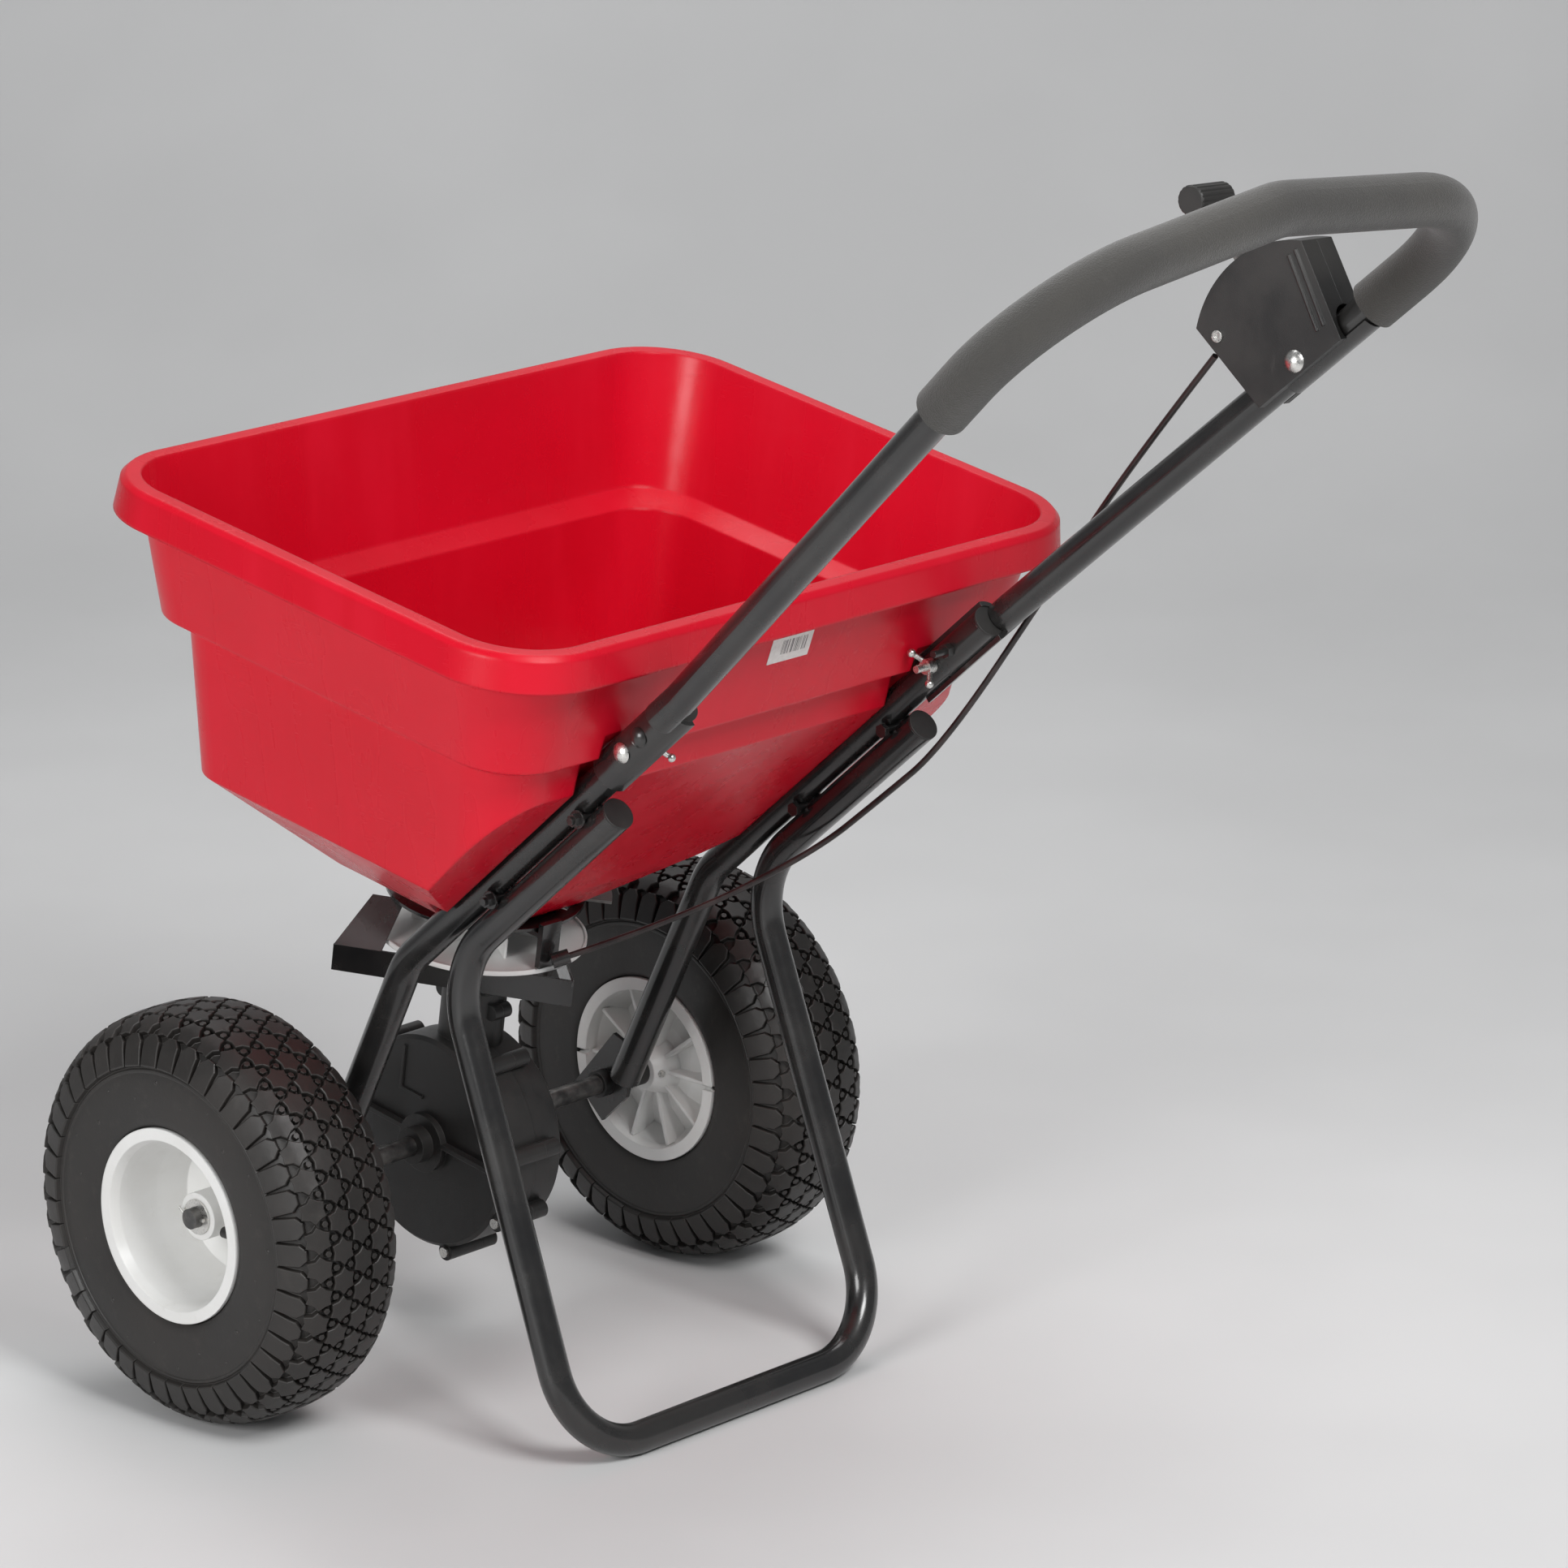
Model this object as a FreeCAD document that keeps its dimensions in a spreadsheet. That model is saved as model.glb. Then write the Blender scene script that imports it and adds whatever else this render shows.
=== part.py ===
import FreeCAD, Part
import math
import os
import Sketcher
from FreeCAD import Placement, Rotation, Vector

# Walk-behind broadcast spreader, millimetres.
# X runs along the axle (+X is the operator's left), +Y points back to the handle, +Z is up.
# Every piece is drawn about the middle of the axle and then placed with one of the frames below.

SIZES = [
    # wheels
    ("tyre_radius", 165.0),
    ("tyre_half", 52.0),
    ("bead_radius", 71.0),
    ("flange_radius", 77.5),
    ("rim_half", 51.0),
    ("wheel_x", 260.0),
    ("hub_radius", 19.0),
    ("hub_in", 55.0),
    ("hub_out", 20.0),
    ("spoke_count", 10.0),
    ("stem_radius", 3.6),
    ("axle_radius", 8.0),
    ("axle_half", 289.0),
    ("axle_y", -340.6),
    ("run_gap", 0.06),
    # tubes
    ("tube_radius", 12.7),
    ("tube_wall", 2.0),
    ("frame_x", 166.0),
    ("tube_rise", 41.0),
    ("low_rise", 63.3),
    ("bend_y", 120.6),
    ("bend_z", 206.0),
    ("frame_bend", 70.0),
    ("main_length", 388.0),
    ("main_foot", 17.0),
    ("stand_gap", 27.0),
    ("stand_length", 276.0),
    ("stand_knee", 39.0),
    ("stand_half", 170.0),
    ("stand_lean", 20.0),
    ("stand_corner", 68.0),
    ("stand_bend", 75.0),
    ("bolt_low", 127.0),
    ("bolt_high", 251.0),
    ("bolt_radius", 3.0),
    # handle
    ("grip_top", 857.0),
    ("grip_side", 831.5),
    ("grip_back", 828.0),
    ("grip_half", 249.7),
    ("handle_x", 180.2),
    ("handle_start", 296.0),
    ("handle_kink", 404.0),
    ("handle_bend", 94.0),
    ("handle_pin_low", 328.0),
    ("handle_pin_high", 351.0),
    ("foam_radius", 19.5),
    ("foam_start", 0.745),
    # hopper, in its own tilted frame
    ("tilt", 9.2),
    ("hopper_wall", 3.5),
    ("back_level", 1.0),
    ("rim_level", 570.0),
    ("rim_width", 317.0),
    ("rim_front", -167.0),
    ("rim_rear", 313.0),
    ("rim_depth", 28.0),
    ("step_level", 455.0),
    ("box_level", 335.0),
    ("trough_level", 262.0),
    ("throat_level", 215.0),
    ("throat_width", 56.0),
    # gearbox and impeller
    ("case_radius", 87.0),
    ("case_left", 38.0),
    ("case_right", 30.0),
    ("case_wall", 4.0),
    ("neck_radius", 26.0),
    ("neck_top", 130.0),
    ("shaft_radius", 6.35),
    ("gear_teeth", 48.0),
    ("pinion_teeth", 12.0),
    ("gear_module", 2.5),
    ("impeller_radius", 84.0),
    ("impeller_level", 174.0),
    # control
    ("fan_radius", 88.0),
    ("fan_depth", 20.0),
    ("lever_reach", 138.0),
    ("lever_angle", 86.5),
    ("cable_radius", 2.5),
]

document = FreeCAD.newDocument("spreader")
sheet = document.addObject("Spreadsheet::Sheet", "dims")
for row, (alias, number) in enumerate(SIZES, start=1):
    sheet.set("A%d" % row, alias)
    sheet.set("B%d" % row, str(number))
    sheet.setAlias("B%d" % row, alias)
document.recompute()

finished = []


def size(alias):
    """A driving dimension, read from the sheet."""
    return float(sheet.get(alias))


AXLE = Vector(0, size("axle_y"), size("tyre_radius"))
LEVEL = Placement(AXLE, Rotation())
TILTED = Placement(AXLE, Rotation(Vector(1, 0, 0), -size("tilt")))


# ---------------------------------------------------------------- helpers

def finish(item, label, frame=LEVEL):
    """Name a finished piece, place it and put it on the list of files."""
    item.Label = label
    item.Placement = frame
    finished.append(item)
    return item


def shaped(label, shape, frame=LEVEL):
    """A piece whose shape comes from Part's own functions."""
    piece = document.addObject("Part::Feature", label)
    piece.Shape = shape
    return finish(piece, label, frame.multiply(shape.Placement))


def number_of(body, expression):
    """Value of an expression on the sheet, as a plain number."""
    value = body.evalExpression(expression)
    return float(getattr(value, "Value", value))


def plane_of(body, role):
    """One of the body's own origin planes."""
    for feature in body.Origin.OriginFeatures:
        if feature.Role == role:
            return feature
    raise ValueError(role)


def new_sketch(body, role, name):
    """An empty sketch on an origin plane of its own body."""
    sketch = body.newObject("Sketcher::SketchObject", name)
    sketch.AttachmentSupport = [(plane_of(body, role), "")]
    sketch.MapMode = "FlatFace"
    return sketch


def pin_point(sketch, body, index, position, across, up):
    """Hold one sketch point at two expressions measured from the origin."""
    for kind, expression in (("DistanceX", across), ("DistanceY", up)):
        value = number_of(body, expression)
        sketch.addConstraint(Sketcher.Constraint(kind, -1, 1, index, position, value))
        sketch.setExpression("Constraints[%d]" % (sketch.ConstraintCount - 1), expression)


def outline(body, role, points, name="Outline"):
    """A closed outline through points given as pairs of expressions."""
    sketch = new_sketch(body, role, name)
    corners = [Vector(number_of(body, a), number_of(body, b), 0) for a, b in points]
    for start, end in zip(corners, corners[1:] + corners[:1]):
        sketch.addGeometry(Part.LineSegment(start, end), False)
    for index in range(len(corners)):
        following = (index + 1) % len(corners)
        sketch.addConstraint(Sketcher.Constraint("Coincident", index, 2, following, 1))
    for index, (across, up) in enumerate(points):
        pin_point(sketch, body, index, 1, across, up)
    return sketch


def circles(body, role, rounds, name="Rounds"):
    """Circles given as expressions: centre across, centre up, radius."""
    sketch = new_sketch(body, role, name)
    for index, (across, up, radius) in enumerate(rounds):
        centre = Vector(number_of(body, across), number_of(body, up), 0)
        value = number_of(body, radius)
        sketch.addGeometry(Part.Circle(centre, Vector(0, 0, 1), value), False)
        sketch.addConstraint(Sketcher.Constraint("Radius", index, value))
        sketch.setExpression("Constraints[%d]" % (sketch.ConstraintCount - 1), radius)
        pin_point(sketch, body, index, 3, across, up)
    return sketch


def turned(label, points, frame=LEVEL, axis="H_Axis", role="XY_Plane"):
    """A body turned about the X axis (H_Axis) or the upright axis (V_Axis)."""
    body = document.addObject("PartDesign::Body", label)
    profile = outline(body, role, points)
    revolution = body.newObject("PartDesign::Revolution", "Turn")
    revolution.Profile = profile
    revolution.ReferenceAxis = (profile, [axis])
    revolution.Angle = 360
    document.recompute()
    return finish(body, label, frame)


def upright(label, points, frame=TILTED):
    """A body turned about the upright shaft axis: points are radius, height."""
    return turned(label, points, frame, "V_Axis", "XZ_Plane")


def padded(label, role, points, length, frame=LEVEL, symmetric=True):
    """A flat plate padded from an outline."""
    body = document.addObject("PartDesign::Body", label)
    profile = outline(body, role, points)
    pad = body.newObject("PartDesign::Pad", "Plate")
    pad.Profile = profile
    pad.Midplane = symmetric
    pad.setExpression("Length", length)
    document.recompute()
    return finish(body, label, frame)


def drill(body, role, rounds, name="Bore"):
    """Cut round holes right through a body, both ways from an origin plane."""
    sketch = circles(body, role, rounds, name + "Circle")
    pocket = body.newObject("PartDesign::Pocket", name)
    pocket.Profile = sketch
    pocket.Type = "ThroughAll"
    pocket.Midplane = True
    document.recompute()
    return pocket


def rod(start, end, radius):
    """A plain round bar between two points."""
    return Part.makeCylinder(radius, (end - start).Length, start, end - start)


def ring(start, end, outer, inner):
    """A plain round sleeve between two points."""
    return rod(start, end, outer).cut(rod(start, end, inner))


def hexagon(start, end, across_flats):
    """A hexagonal bar between two points, for nuts and bolt heads."""
    direction = end - start
    reach = across_flats / math.sqrt(3.0)
    turn = Rotation(Vector(0, 0, 1), direction)
    corners = []
    for step in range(7):
        angle = math.radians(60.0 * step)
        flat = Vector(reach * math.cos(angle), reach * math.sin(angle), 0)
        corners.append(start + turn.multVec(flat))
    return Part.Face(Part.makePolygon(corners)).extrude(direction)


def bent_path(corners, radii):
    """A wire of straight runs joined by tangent arcs at its inner corners."""
    edges = []
    last = corners[0]
    for before, corner, after, radius in zip(corners, corners[1:], corners[2:], radii):
        back = (before - corner).normalize()
        ahead = (after - corner).normalize()
        half = 0.5 * back.getAngle(ahead)
        run = radius / math.tan(half)
        start = corner + back * run
        end = corner + ahead * run
        inward = (back + ahead).normalize()
        middle = corner + inward * (radius / math.sin(half) - radius)
        edges.append(Part.LineSegment(last, start).toShape())
        edges.append(Part.Arc(start, middle, end).toShape())
        last = end
    edges.append(Part.LineSegment(last, corners[-1]).toShape())
    return Part.Wire(edges)


def swept(path, radius):
    """A round bar along a wire."""
    first = path.Edges[0]
    start = first.valueAt(first.FirstParameter)
    heading = first.tangentAt(first.FirstParameter)
    section = Part.Wire(Part.makeCircle(radius, start, heading))
    return path.makePipeShell([section], True, False)


def mirrored(shape):
    """The same shape on the other side of the middle plane."""
    return shape.mirror(Vector(0, 0, 0), Vector(1, 0, 0))


def plate(corners, thickness):
    """A flat plate from its corner points, thickened evenly about them."""
    face = Part.Face(Part.makePolygon(corners + corners[:1]))
    normal = face.normalAt(0, 0)
    return face.translated(normal * (-0.5 * thickness)).extrude(normal * thickness)


# ---------------------------------------------------------------- frame lines

RISE = math.radians(size("tube_rise"))
UP_TUBE = Vector(0, math.cos(RISE), math.sin(RISE))
OFF_TUBE = Vector(0, math.sin(RISE), -math.cos(RISE))
BEND = Vector(0, size("bend_y"), size("bend_z"))
SIDE = Vector(size("frame_x"), 0, 0)


def on_tube(along, below=0.0, across=0.0):
    """A point by the left frame tube: along it from the bend, below it, and outward."""
    return BEND + SIDE + UP_TUBE * along + OFF_TUBE * below + Vector(across, 0, 0)


def main_corners():
    """Centre line of the left frame tube, from its foot by the axle to its cap."""
    low = math.radians(size("low_rise"))
    foot_way = Vector(0, -math.cos(low), -math.sin(low))
    foot_length = BEND.Length - size("main_foot")
    return [BEND + SIDE + foot_way * foot_length, BEND + SIDE, on_tube(size("main_length"))]


def stand_corners():
    """Centre line of the stand: cap, bend, ground corner and the same mirrored."""
    lean = math.radians(size("stand_lean"))
    # The legs lean back and spread a little towards the ground.
    down = Vector(0, math.sin(lean), -math.cos(lean))
    gap = size("stand_gap")
    knee = on_tube(size("stand_knee"), gap)
    drop = knee.z + size("tyre_radius") - size("tube_radius")
    ground = knee + down * (drop / math.cos(lean))
    ground.x = size("stand_half")
    left = [on_tube(size("stand_length"), gap), knee, ground]
    right = [Vector(-point.x, point.y, point.z) for point in reversed(left)]
    return left + right


def handle_corners():
    """Centre line of the handle: crushed end, kink, grip corner, peak and mirror."""
    outward = size("handle_x") - size("frame_x")
    start = on_tube(size("handle_start"), 0.0, outward)
    kink = on_tube(size("handle_kink"), 0.0, outward)
    corner = Vector(size("grip_half"), size("grip_back"), size("grip_side"))
    peak = Vector(0, size("grip_back") - 3.0, size("grip_top"))
    left = [start, kink, corner]
    right = [Vector(-point.x, point.y, point.z) for point in reversed(left)]
    return left + [peak] + right


def hollow(path, radius, wall):
    """A round tube along a wire."""
    return swept(path, radius).cut(swept(path, radius - wall))


def both_sides(make):
    """A left piece and its mirror image, as a list of shapes."""
    left = make()
    return [left, mirrored(left)]


# ---------------------------------------------------------------- frame

def frame_bolt_line(along, start, end):
    """Two points on a frame bolt, which passes where the two tubes touch."""
    below = 0.5 * size("stand_gap")
    return on_tube(along, below, start), on_tube(along, below, end)


def frame_holes(radius):
    """Cutters for the two frame bolts on the left side."""
    holes = []
    for along in (size("bolt_low"), size("bolt_high")):
        start, end = frame_bolt_line(along, -30.0, 30.0)
        holes.append(rod(start, end, radius))
    return holes


def handle_holes(radius):
    """Cutters for the two handle fasteners on the left side."""
    holes = []
    for along in (size("handle_pin_low"), size("handle_pin_high")):
        holes.append(rod(on_tube(along, 0, -30.0), on_tube(along, 0, 30.0), radius))
    return holes


def make_main_tubes():
    radius = size("tube_radius")
    path = bent_path(main_corners(), [size("frame_bend")])
    tube = hollow(path, radius, size("tube_wall"))
    slot = Part.makeBox(4.1, 60, 85, Vector(size("frame_x") - 2.05, -25, -25))
    tube = tube.cut([slot] + frame_holes(3.3) + handle_holes(3.3))
    shaped("main_tube_left", tube)
    shaped("main_tube_right", mirrored(tube))


def make_stand():
    radius = size("tube_radius")
    knee = size("stand_bend")
    corner = size("stand_corner")
    path = bent_path(stand_corners(), [knee, corner, corner, knee])
    tube = hollow(path, radius, size("tube_wall"))
    left_holes = frame_holes(3.3)
    tube = tube.cut(left_holes + [mirrored(hole) for hole in left_holes])
    shaped("stand_tube", tube)


def cap_on(point, heading):
    """A push-in tube cap: a thin disc with a plug behind it."""
    radius = size("tube_radius")
    plug = radius - size("tube_wall") - 0.05
    disc = rod(point, point + heading * 2.0, radius)
    return disc.fuse(rod(point - heading * 12.0, point, plug))


def make_caps():
    main_end = on_tube(size("main_length"))
    stand_end = stand_corners()[0]
    left = [cap_on(main_end, UP_TUBE), cap_on(stand_end, UP_TUBE)]
    shaped("tube_caps", Part.makeCompound(left + [mirrored(cap) for cap in left]))


def make_axle_plates():
    """Diamond plates welded into the slotted feet of the frame tubes, and their bushes."""
    for side, name in ((1, "left"), (-1, "right")):
        points = [("-34", "-6"), ("-4", "-34"), ("24", "-8"), ("36", "34"), ("10", "44")]
        body = padded("axle_plate_" + name, "YZ_Plane", points, "4")
        drill(body, "YZ_Plane", [("0", "0", "11.02")])
        frame = LEVEL.multiply(Placement(Vector(side * size("frame_x"), 0, 0), Rotation()))
        body.Placement = frame
        flange = "%d" % (side * 2 + 0)
        bush = [
            ("-12", "dims.axle_radius + dims.run_gap"),
            ("12", "dims.axle_radius + dims.run_gap"),
            ("12", "11"),
            ("%s + 3.05 * %d" % (flange, side), "11"),
            ("%s + 3.05 * %d" % (flange, side), "15"),
            ("%s + 0.05 * %d" % (flange, side), "15"),
            ("%s + 0.05 * %d" % (flange, side), "11"),
            ("-12", "11"),
        ]
        if side < 0:
            bush = [bush[0], bush[1], bush[2], bush[6], bush[5], bush[4], bush[3], bush[7]]
        turned("axle_bush_" + name, bush, frame)


def make_frame_fasteners():
    """Bolts, washers and nuts that clamp the stand to the frame tubes."""
    bolts = []
    washers = []
    nuts = []
    radius = size("bolt_radius")
    outside = size("tube_radius") + 0.1
    for along in (size("bolt_low"), size("bolt_high")):
        head, seat = frame_bolt_line(along, -outside - 4.0, -outside)
        tip = frame_bolt_line(along, 0, outside + 9.0)[1]
        bolts.append(hexagon(head, seat, 10.0).fuse(rod(seat, tip, radius)))
        low, high = frame_bolt_line(along, outside, outside + 1.6)
        washers.append(ring(low, high, 7.0, radius + 0.2))
        top = frame_bolt_line(along, 0, outside + 6.5)[1]
        nuts.append(hexagon(high, top, 9.0).cut(rod(low, tip, radius + 0.01)))
    for label, shapes in (("frame_bolts", bolts), ("frame_washers", washers),
                          ("frame_nuts", nuts)):
        shaped(label, Part.makeCompound(shapes + [mirrored(shape) for shape in shapes]))


# ---------------------------------------------------------------- handle

def half_pipe(start, end, inner, outer):
    """The outward half of a sleeve about the left frame tube."""
    sleeve = ring(start, end, outer, inner)
    keep = Part.makeBox(60, 900, 900, Vector(size("frame_x"), 0, 0))
    return sleeve.common(keep)


def make_handle():
    """Handle tube: round above, crushed to a half shell where it wraps the frame tube."""
    radius = size("tube_radius")
    wall = size("tube_wall")
    bend = size("handle_bend")
    corners = handle_corners()
    path = bent_path(corners, [60.0, bend, 90.0, bend, 60.0])
    outer = swept(path, radius)
    inner = swept(path, radius - wall)
    start = on_tube(size("handle_start") - 2.0)
    top = on_tube(size("main_length") + 3.0)
    shell = half_pipe(start, top, radius + 0.15, radius + 2 * wall + 0.15)
    clear = rod(start - UP_TUBE, top, radius + 0.15)
    block = rod(start - UP_TUBE, top, radius + 2 * wall)
    end_cut = rod(start - UP_TUBE * 30, on_tube(size("handle_kink") - 26.0), 40.0)
    upper = outer.cut([end_cut, mirrored(end_cut)])
    bore = inner.cut([end_cut, mirrored(end_cut), block, mirrored(block)])
    joined = upper.fuse([shell, mirrored(shell)]).cut([clear, mirrored(clear), bore])
    holes = handle_holes(3.3)
    joined = joined.cut(holes + [mirrored(hole) for hole in holes] + [control_hole()])
    shaped("handle_tube", joined)


def grip_path():
    """The stretch of the handle's centre line that the foam covers."""
    corners = handle_corners()
    bend = size("handle_bend")
    share = size("foam_start")
    left = corners[1] + (corners[2] - corners[1]) * share
    right = Vector(-left.x, left.y, left.z)
    return bent_path([left] + corners[2:5] + [right], [bend, 90.0, bend])


def make_grip():
    path = grip_path()
    foam = swept(path, size("foam_radius")).cut(swept(path, size("tube_radius") + 0.02))
    shaped("foam_grip", foam)


def dome_head(point, heading, radius, height):
    """The rounded head of a carriage bolt."""
    ball = (radius * radius + height * height) / (2.0 * height)
    sphere = Part.makeSphere(ball, point - heading * (ball - height))
    return sphere.common(rod(point, point + heading * (height + 1.0), radius))


def make_handle_fasteners():
    """Carriage bolt with wing nut, and the second bolt above it, on both sides."""
    radius = size("bolt_radius")
    outside = size("tube_radius") + 2 * size("tube_wall") + 0.2
    inside = -(size("tube_radius") + 0.1)
    outward = Vector(1, 0, 0)
    bolts = []
    for along in (size("handle_pin_low"), size("handle_pin_high")):
        seat = on_tube(along, 0, outside)
        tip = on_tube(along, 0, inside - 18.0)
        bolts.append(rod(seat, tip, radius).fuse(dome_head(seat, outward, 8.0, 4.0)))
    low = size("handle_pin_low")
    base = on_tube(low, 0, inside)
    hub = rod(base, base - outward * 8.0, 6.0)
    ears = []
    for way in (1, -1):
        root = base - outward * 4.0 + OFF_TUBE * (3.0 * way)
        tip = base - outward * 13.0 + OFF_TUBE * (14.0 * way)
        ears.append(rod(root, tip, 2.0).fuse(Part.makeSphere(3.4, tip)))
    bore = rod(on_tube(low, 0, 0), on_tube(low, 0, inside - 30.0), radius + 0.01)
    wing = hub.fuse(ears).cut(bore)
    high = size("handle_pin_high")
    start = on_tube(high, 0, inside)
    nut = hexagon(start, start - outward * 5.5, 10.0)
    nut = nut.cut(rod(start + outward, start - outward * 9, radius + 0.01))
    for label, shape in (("handle_bolts", bolts[0]), ("handle_bolts_upper", bolts[1]),
                         ("wing_nuts", wing), ("handle_nuts", nut)):
        shaped(label, Part.makeCompound([shape, mirrored(shape)]))


# ---------------------------------------------------------------- control on the right leg

def control_frame():
    """Frame on the right handle leg: X up the leg, Y off it, Z inboard."""
    corners = handle_corners()
    low, high = corners[5], corners[4]
    along = (high - low).normalize()
    inboard = Vector(1, 0, 0) - along * along.x
    inboard.normalize()
    off = inboard.cross(along)
    middle = low + (high - low) * 0.618
    return Placement(AXLE + middle, Rotation(along, off, inboard, "ZXY"))


def control_hole():
    """Cutter through the handle for the control's pivot bolt, about the axle."""
    frame = LEVEL.inverse().multiply(control_frame())
    start = frame.multVec(Vector(0, 0, -30))
    end = frame.multVec(Vector(0, 0, 30))
    return rod(start, end, 3.3)


def polar(radius, degrees, height=0.0):
    angle = math.radians(degrees)
    return Vector(radius * math.cos(angle), radius * math.sin(angle), height)


def fan_solid(radius, low, high, shrink=0.0):
    """A fan-shaped block: straight foot along the tube and a round top edge."""
    foot_left = Vector(-46 + shrink, -10 + shrink, low)
    foot_right = Vector(43 - shrink, -10 + shrink, low)
    left = polar(radius, 130, low) + Vector(shrink, 0, 0)
    right = polar(radius, 49, low) - Vector(shrink, 0, 0)
    top = polar(radius, 89.5, low)
    edges = [
        Part.LineSegment(foot_left, foot_right).toShape(),
        Part.LineSegment(foot_right, right).toShape(),
        Part.Arc(right, top, left).toShape(),
        Part.LineSegment(left, foot_left).toShape(),
    ]
    return Part.Face(Part.Wire(edges)).extrude(Vector(0, 0, high - low))


def arc_slot(low_angle, high_angle, low, high):
    """A cutter through the round edge between two angles."""
    reach = size("fan_radius")
    corners = [polar(reach - 8, low_angle, low), polar(reach + 8, low_angle, low)]
    corners += [polar(reach + 8, high_angle, low), polar(reach - 8, high_angle, low)]
    outer = Part.Arc(corners[1], polar(reach + 8, 0.5 * (low_angle + high_angle), low), corners[2])
    inner = Part.Arc(corners[3], polar(reach - 8, 0.5 * (low_angle + high_angle), low), corners[0])
    edges = [
        Part.LineSegment(corners[0], corners[1]).toShape(),
        outer.toShape(),
        Part.LineSegment(corners[2], corners[3]).toShape(),
        inner.toShape(),
    ]
    return Part.Face(Part.Wire(edges)).extrude(Vector(0, 0, high - low))


def make_control_housing():
    """Two half shells astride the handle leg, with slots for the lever and the stop."""
    reach = size("fan_radius")
    deep = size("fan_depth")
    leg = rod(Vector(-80, 0, 0), Vector(80, 0, 0), size("tube_radius") + 3.2)
    pivot = rod(Vector(0, 0, -40), Vector(0, 0, 40), 3.08)
    ribs = []
    for shift in (6.0, 13.0):
        base = Vector(43 - shift, 6, deep)
        tip = polar(reach - 3, 49, deep) - Vector(shift, 0, 0)
        ribs.append(rod(base, tip, 1.6))
    inner_shell = fan_solid(reach, 0.1, deep).cut(fan_solid(reach - 2.5, 0, deep - 2.5, 2.5))
    lever_slot = arc_slot(80, 124, 12.9, 17.3)
    inner_shell = inner_shell.fuse(ribs).cut([leg, pivot, lever_slot])
    shaped("control_housing_inner", inner_shell, control_frame())
    outer_shell = fan_solid(reach, -deep, -0.1)
    outer_shell = outer_shell.cut(fan_solid(reach - 2.5, -deep + 2.5, 0, 2.5))
    stop_slot = arc_slot(76, 126, -10.9, -5.1)
    outer_shell = outer_shell.cut([leg, pivot, stop_slot])
    shaped("control_housing_outer", outer_shell, control_frame())


def make_lever():
    """Flat steel lever on the pivot bolt and the round knob on its end."""
    low = 13.7
    high = 16.5
    half = 6.0
    reach = size("lever_reach")
    angle = size("lever_angle")
    bar = Part.makeBox(reach - 8.0, 2 * half, high - low, Vector(0, -half, low))
    eye = rod(Vector(0, 0, low), Vector(0, 0, high), 7.2)
    horn = Part.makeBox(30, 9, high - low, Vector(0, -4.5, low))
    horn = horn.rotated(Vector(0, 0, 0), Vector(0, 0, 1), 58)
    lever = bar.fuse([eye, horn]).removeSplitter()
    lever = lever.cut(rod(Vector(0, 0, 0), Vector(0, 0, 30), size("bolt_radius") + 0.06))
    lever.rotate(Vector(0, 0, 0), Vector(0, 0, 1), angle)
    shaped("control_lever", lever, control_frame())
    middle = polar(reach, angle, 0)
    low_end = middle + Vector(0, 0, -1.5)
    high_end = middle + Vector(0, 0, 41.0)
    knob = rod(low_end, high_end, 11.5)
    knob = knob.makeChamfer(1.2, [knob.Edges[0], knob.Edges[2]])
    grooves = []
    for step in range(18):
        side = polar(11.9, 20.0 * step)
        grooves.append(rod(low_end + side, high_end + side + Vector(0, 0, 1), 1.0))
    knob = knob.cut([lever] + grooves)
    shaped("lever_knob", knob, control_frame())


def make_rate_stop():
    """Sliding stop in the round edge, with its thumb screw."""
    reach = size("fan_radius")
    stem = Part.makeBox(22, 4.4, 4.4, Vector(reach - 14, -2.2, -10.2))
    inside = Part.makeBox(6, 8, 6, Vector(reach - 10.5, -4.0, -11.0))
    stop = stem.fuse(inside).removeSplitter()
    stop.rotate(Vector(0, 0, 0), Vector(0, 0, 1), 115)
    shaped("rate_stop", stop, control_frame())
    low = polar(reach + 0.6, 115, -8.0)
    high = polar(reach + 6.6, 115, -8.0)
    thumb = rod(low, high, 6.5).cut(stop)
    shaped("stop_thumb_nut", thumb, control_frame())


def make_control_fasteners():
    """Pivot bolt, housing screw and the half-round clamp under the leg."""
    deep = size("fan_depth")
    radius = size("bolt_radius")
    up = Vector(0, 0, 1)
    bolt = rod(Vector(0, 0, -deep - 10), Vector(0, 0, deep), radius)
    bolt = bolt.fuse(dome_head(Vector(0, 0, deep), up, 8.5, 4.2))
    shaped("control_bolt", bolt, control_frame())
    nut = hexagon(Vector(0, 0, -deep), Vector(0, 0, -deep - 6), 10.0)
    nut = nut.cut(rod(Vector(0, 0, -deep + 1), Vector(0, 0, -deep - 9), radius + 0.01))
    shaped("control_nut", nut, control_frame())
    spot = Vector(-44, 52, deep)
    screw = rod(spot, spot + up * 2.2, 4.5).cut(
        rod(spot + up * 1.0, spot + up * 3, 1.8))
    shaped("control_screw", screw, control_frame())
    leg = size("tube_radius")
    sleeve = ring(Vector(-22, 0, 0), Vector(64, 0, 0), leg + 2.6, leg + 0.1)
    keep = Part.makeBox(100, 32, 60, Vector(-30, -40.5, -30))
    pivot = rod(Vector(0, 0, -40), Vector(0, 0, 40), 3.08)
    shaped("control_clamp", sleeve.common(keep).cut(pivot), control_frame())


# ---------------------------------------------------------------- hopper

def rounded(width, front, rear, level, corner):
    """A rounded rectangle at one level of the hopper."""
    corners = [
        Vector(width, front, level), Vector(width, rear, level),
        Vector(-width, rear, level), Vector(-width, front, level),
    ]
    middle = (corners[0] + corners[3]) * 0.5
    path = bent_path([middle] + corners + [middle], [corner] * 4)
    return path


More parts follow.
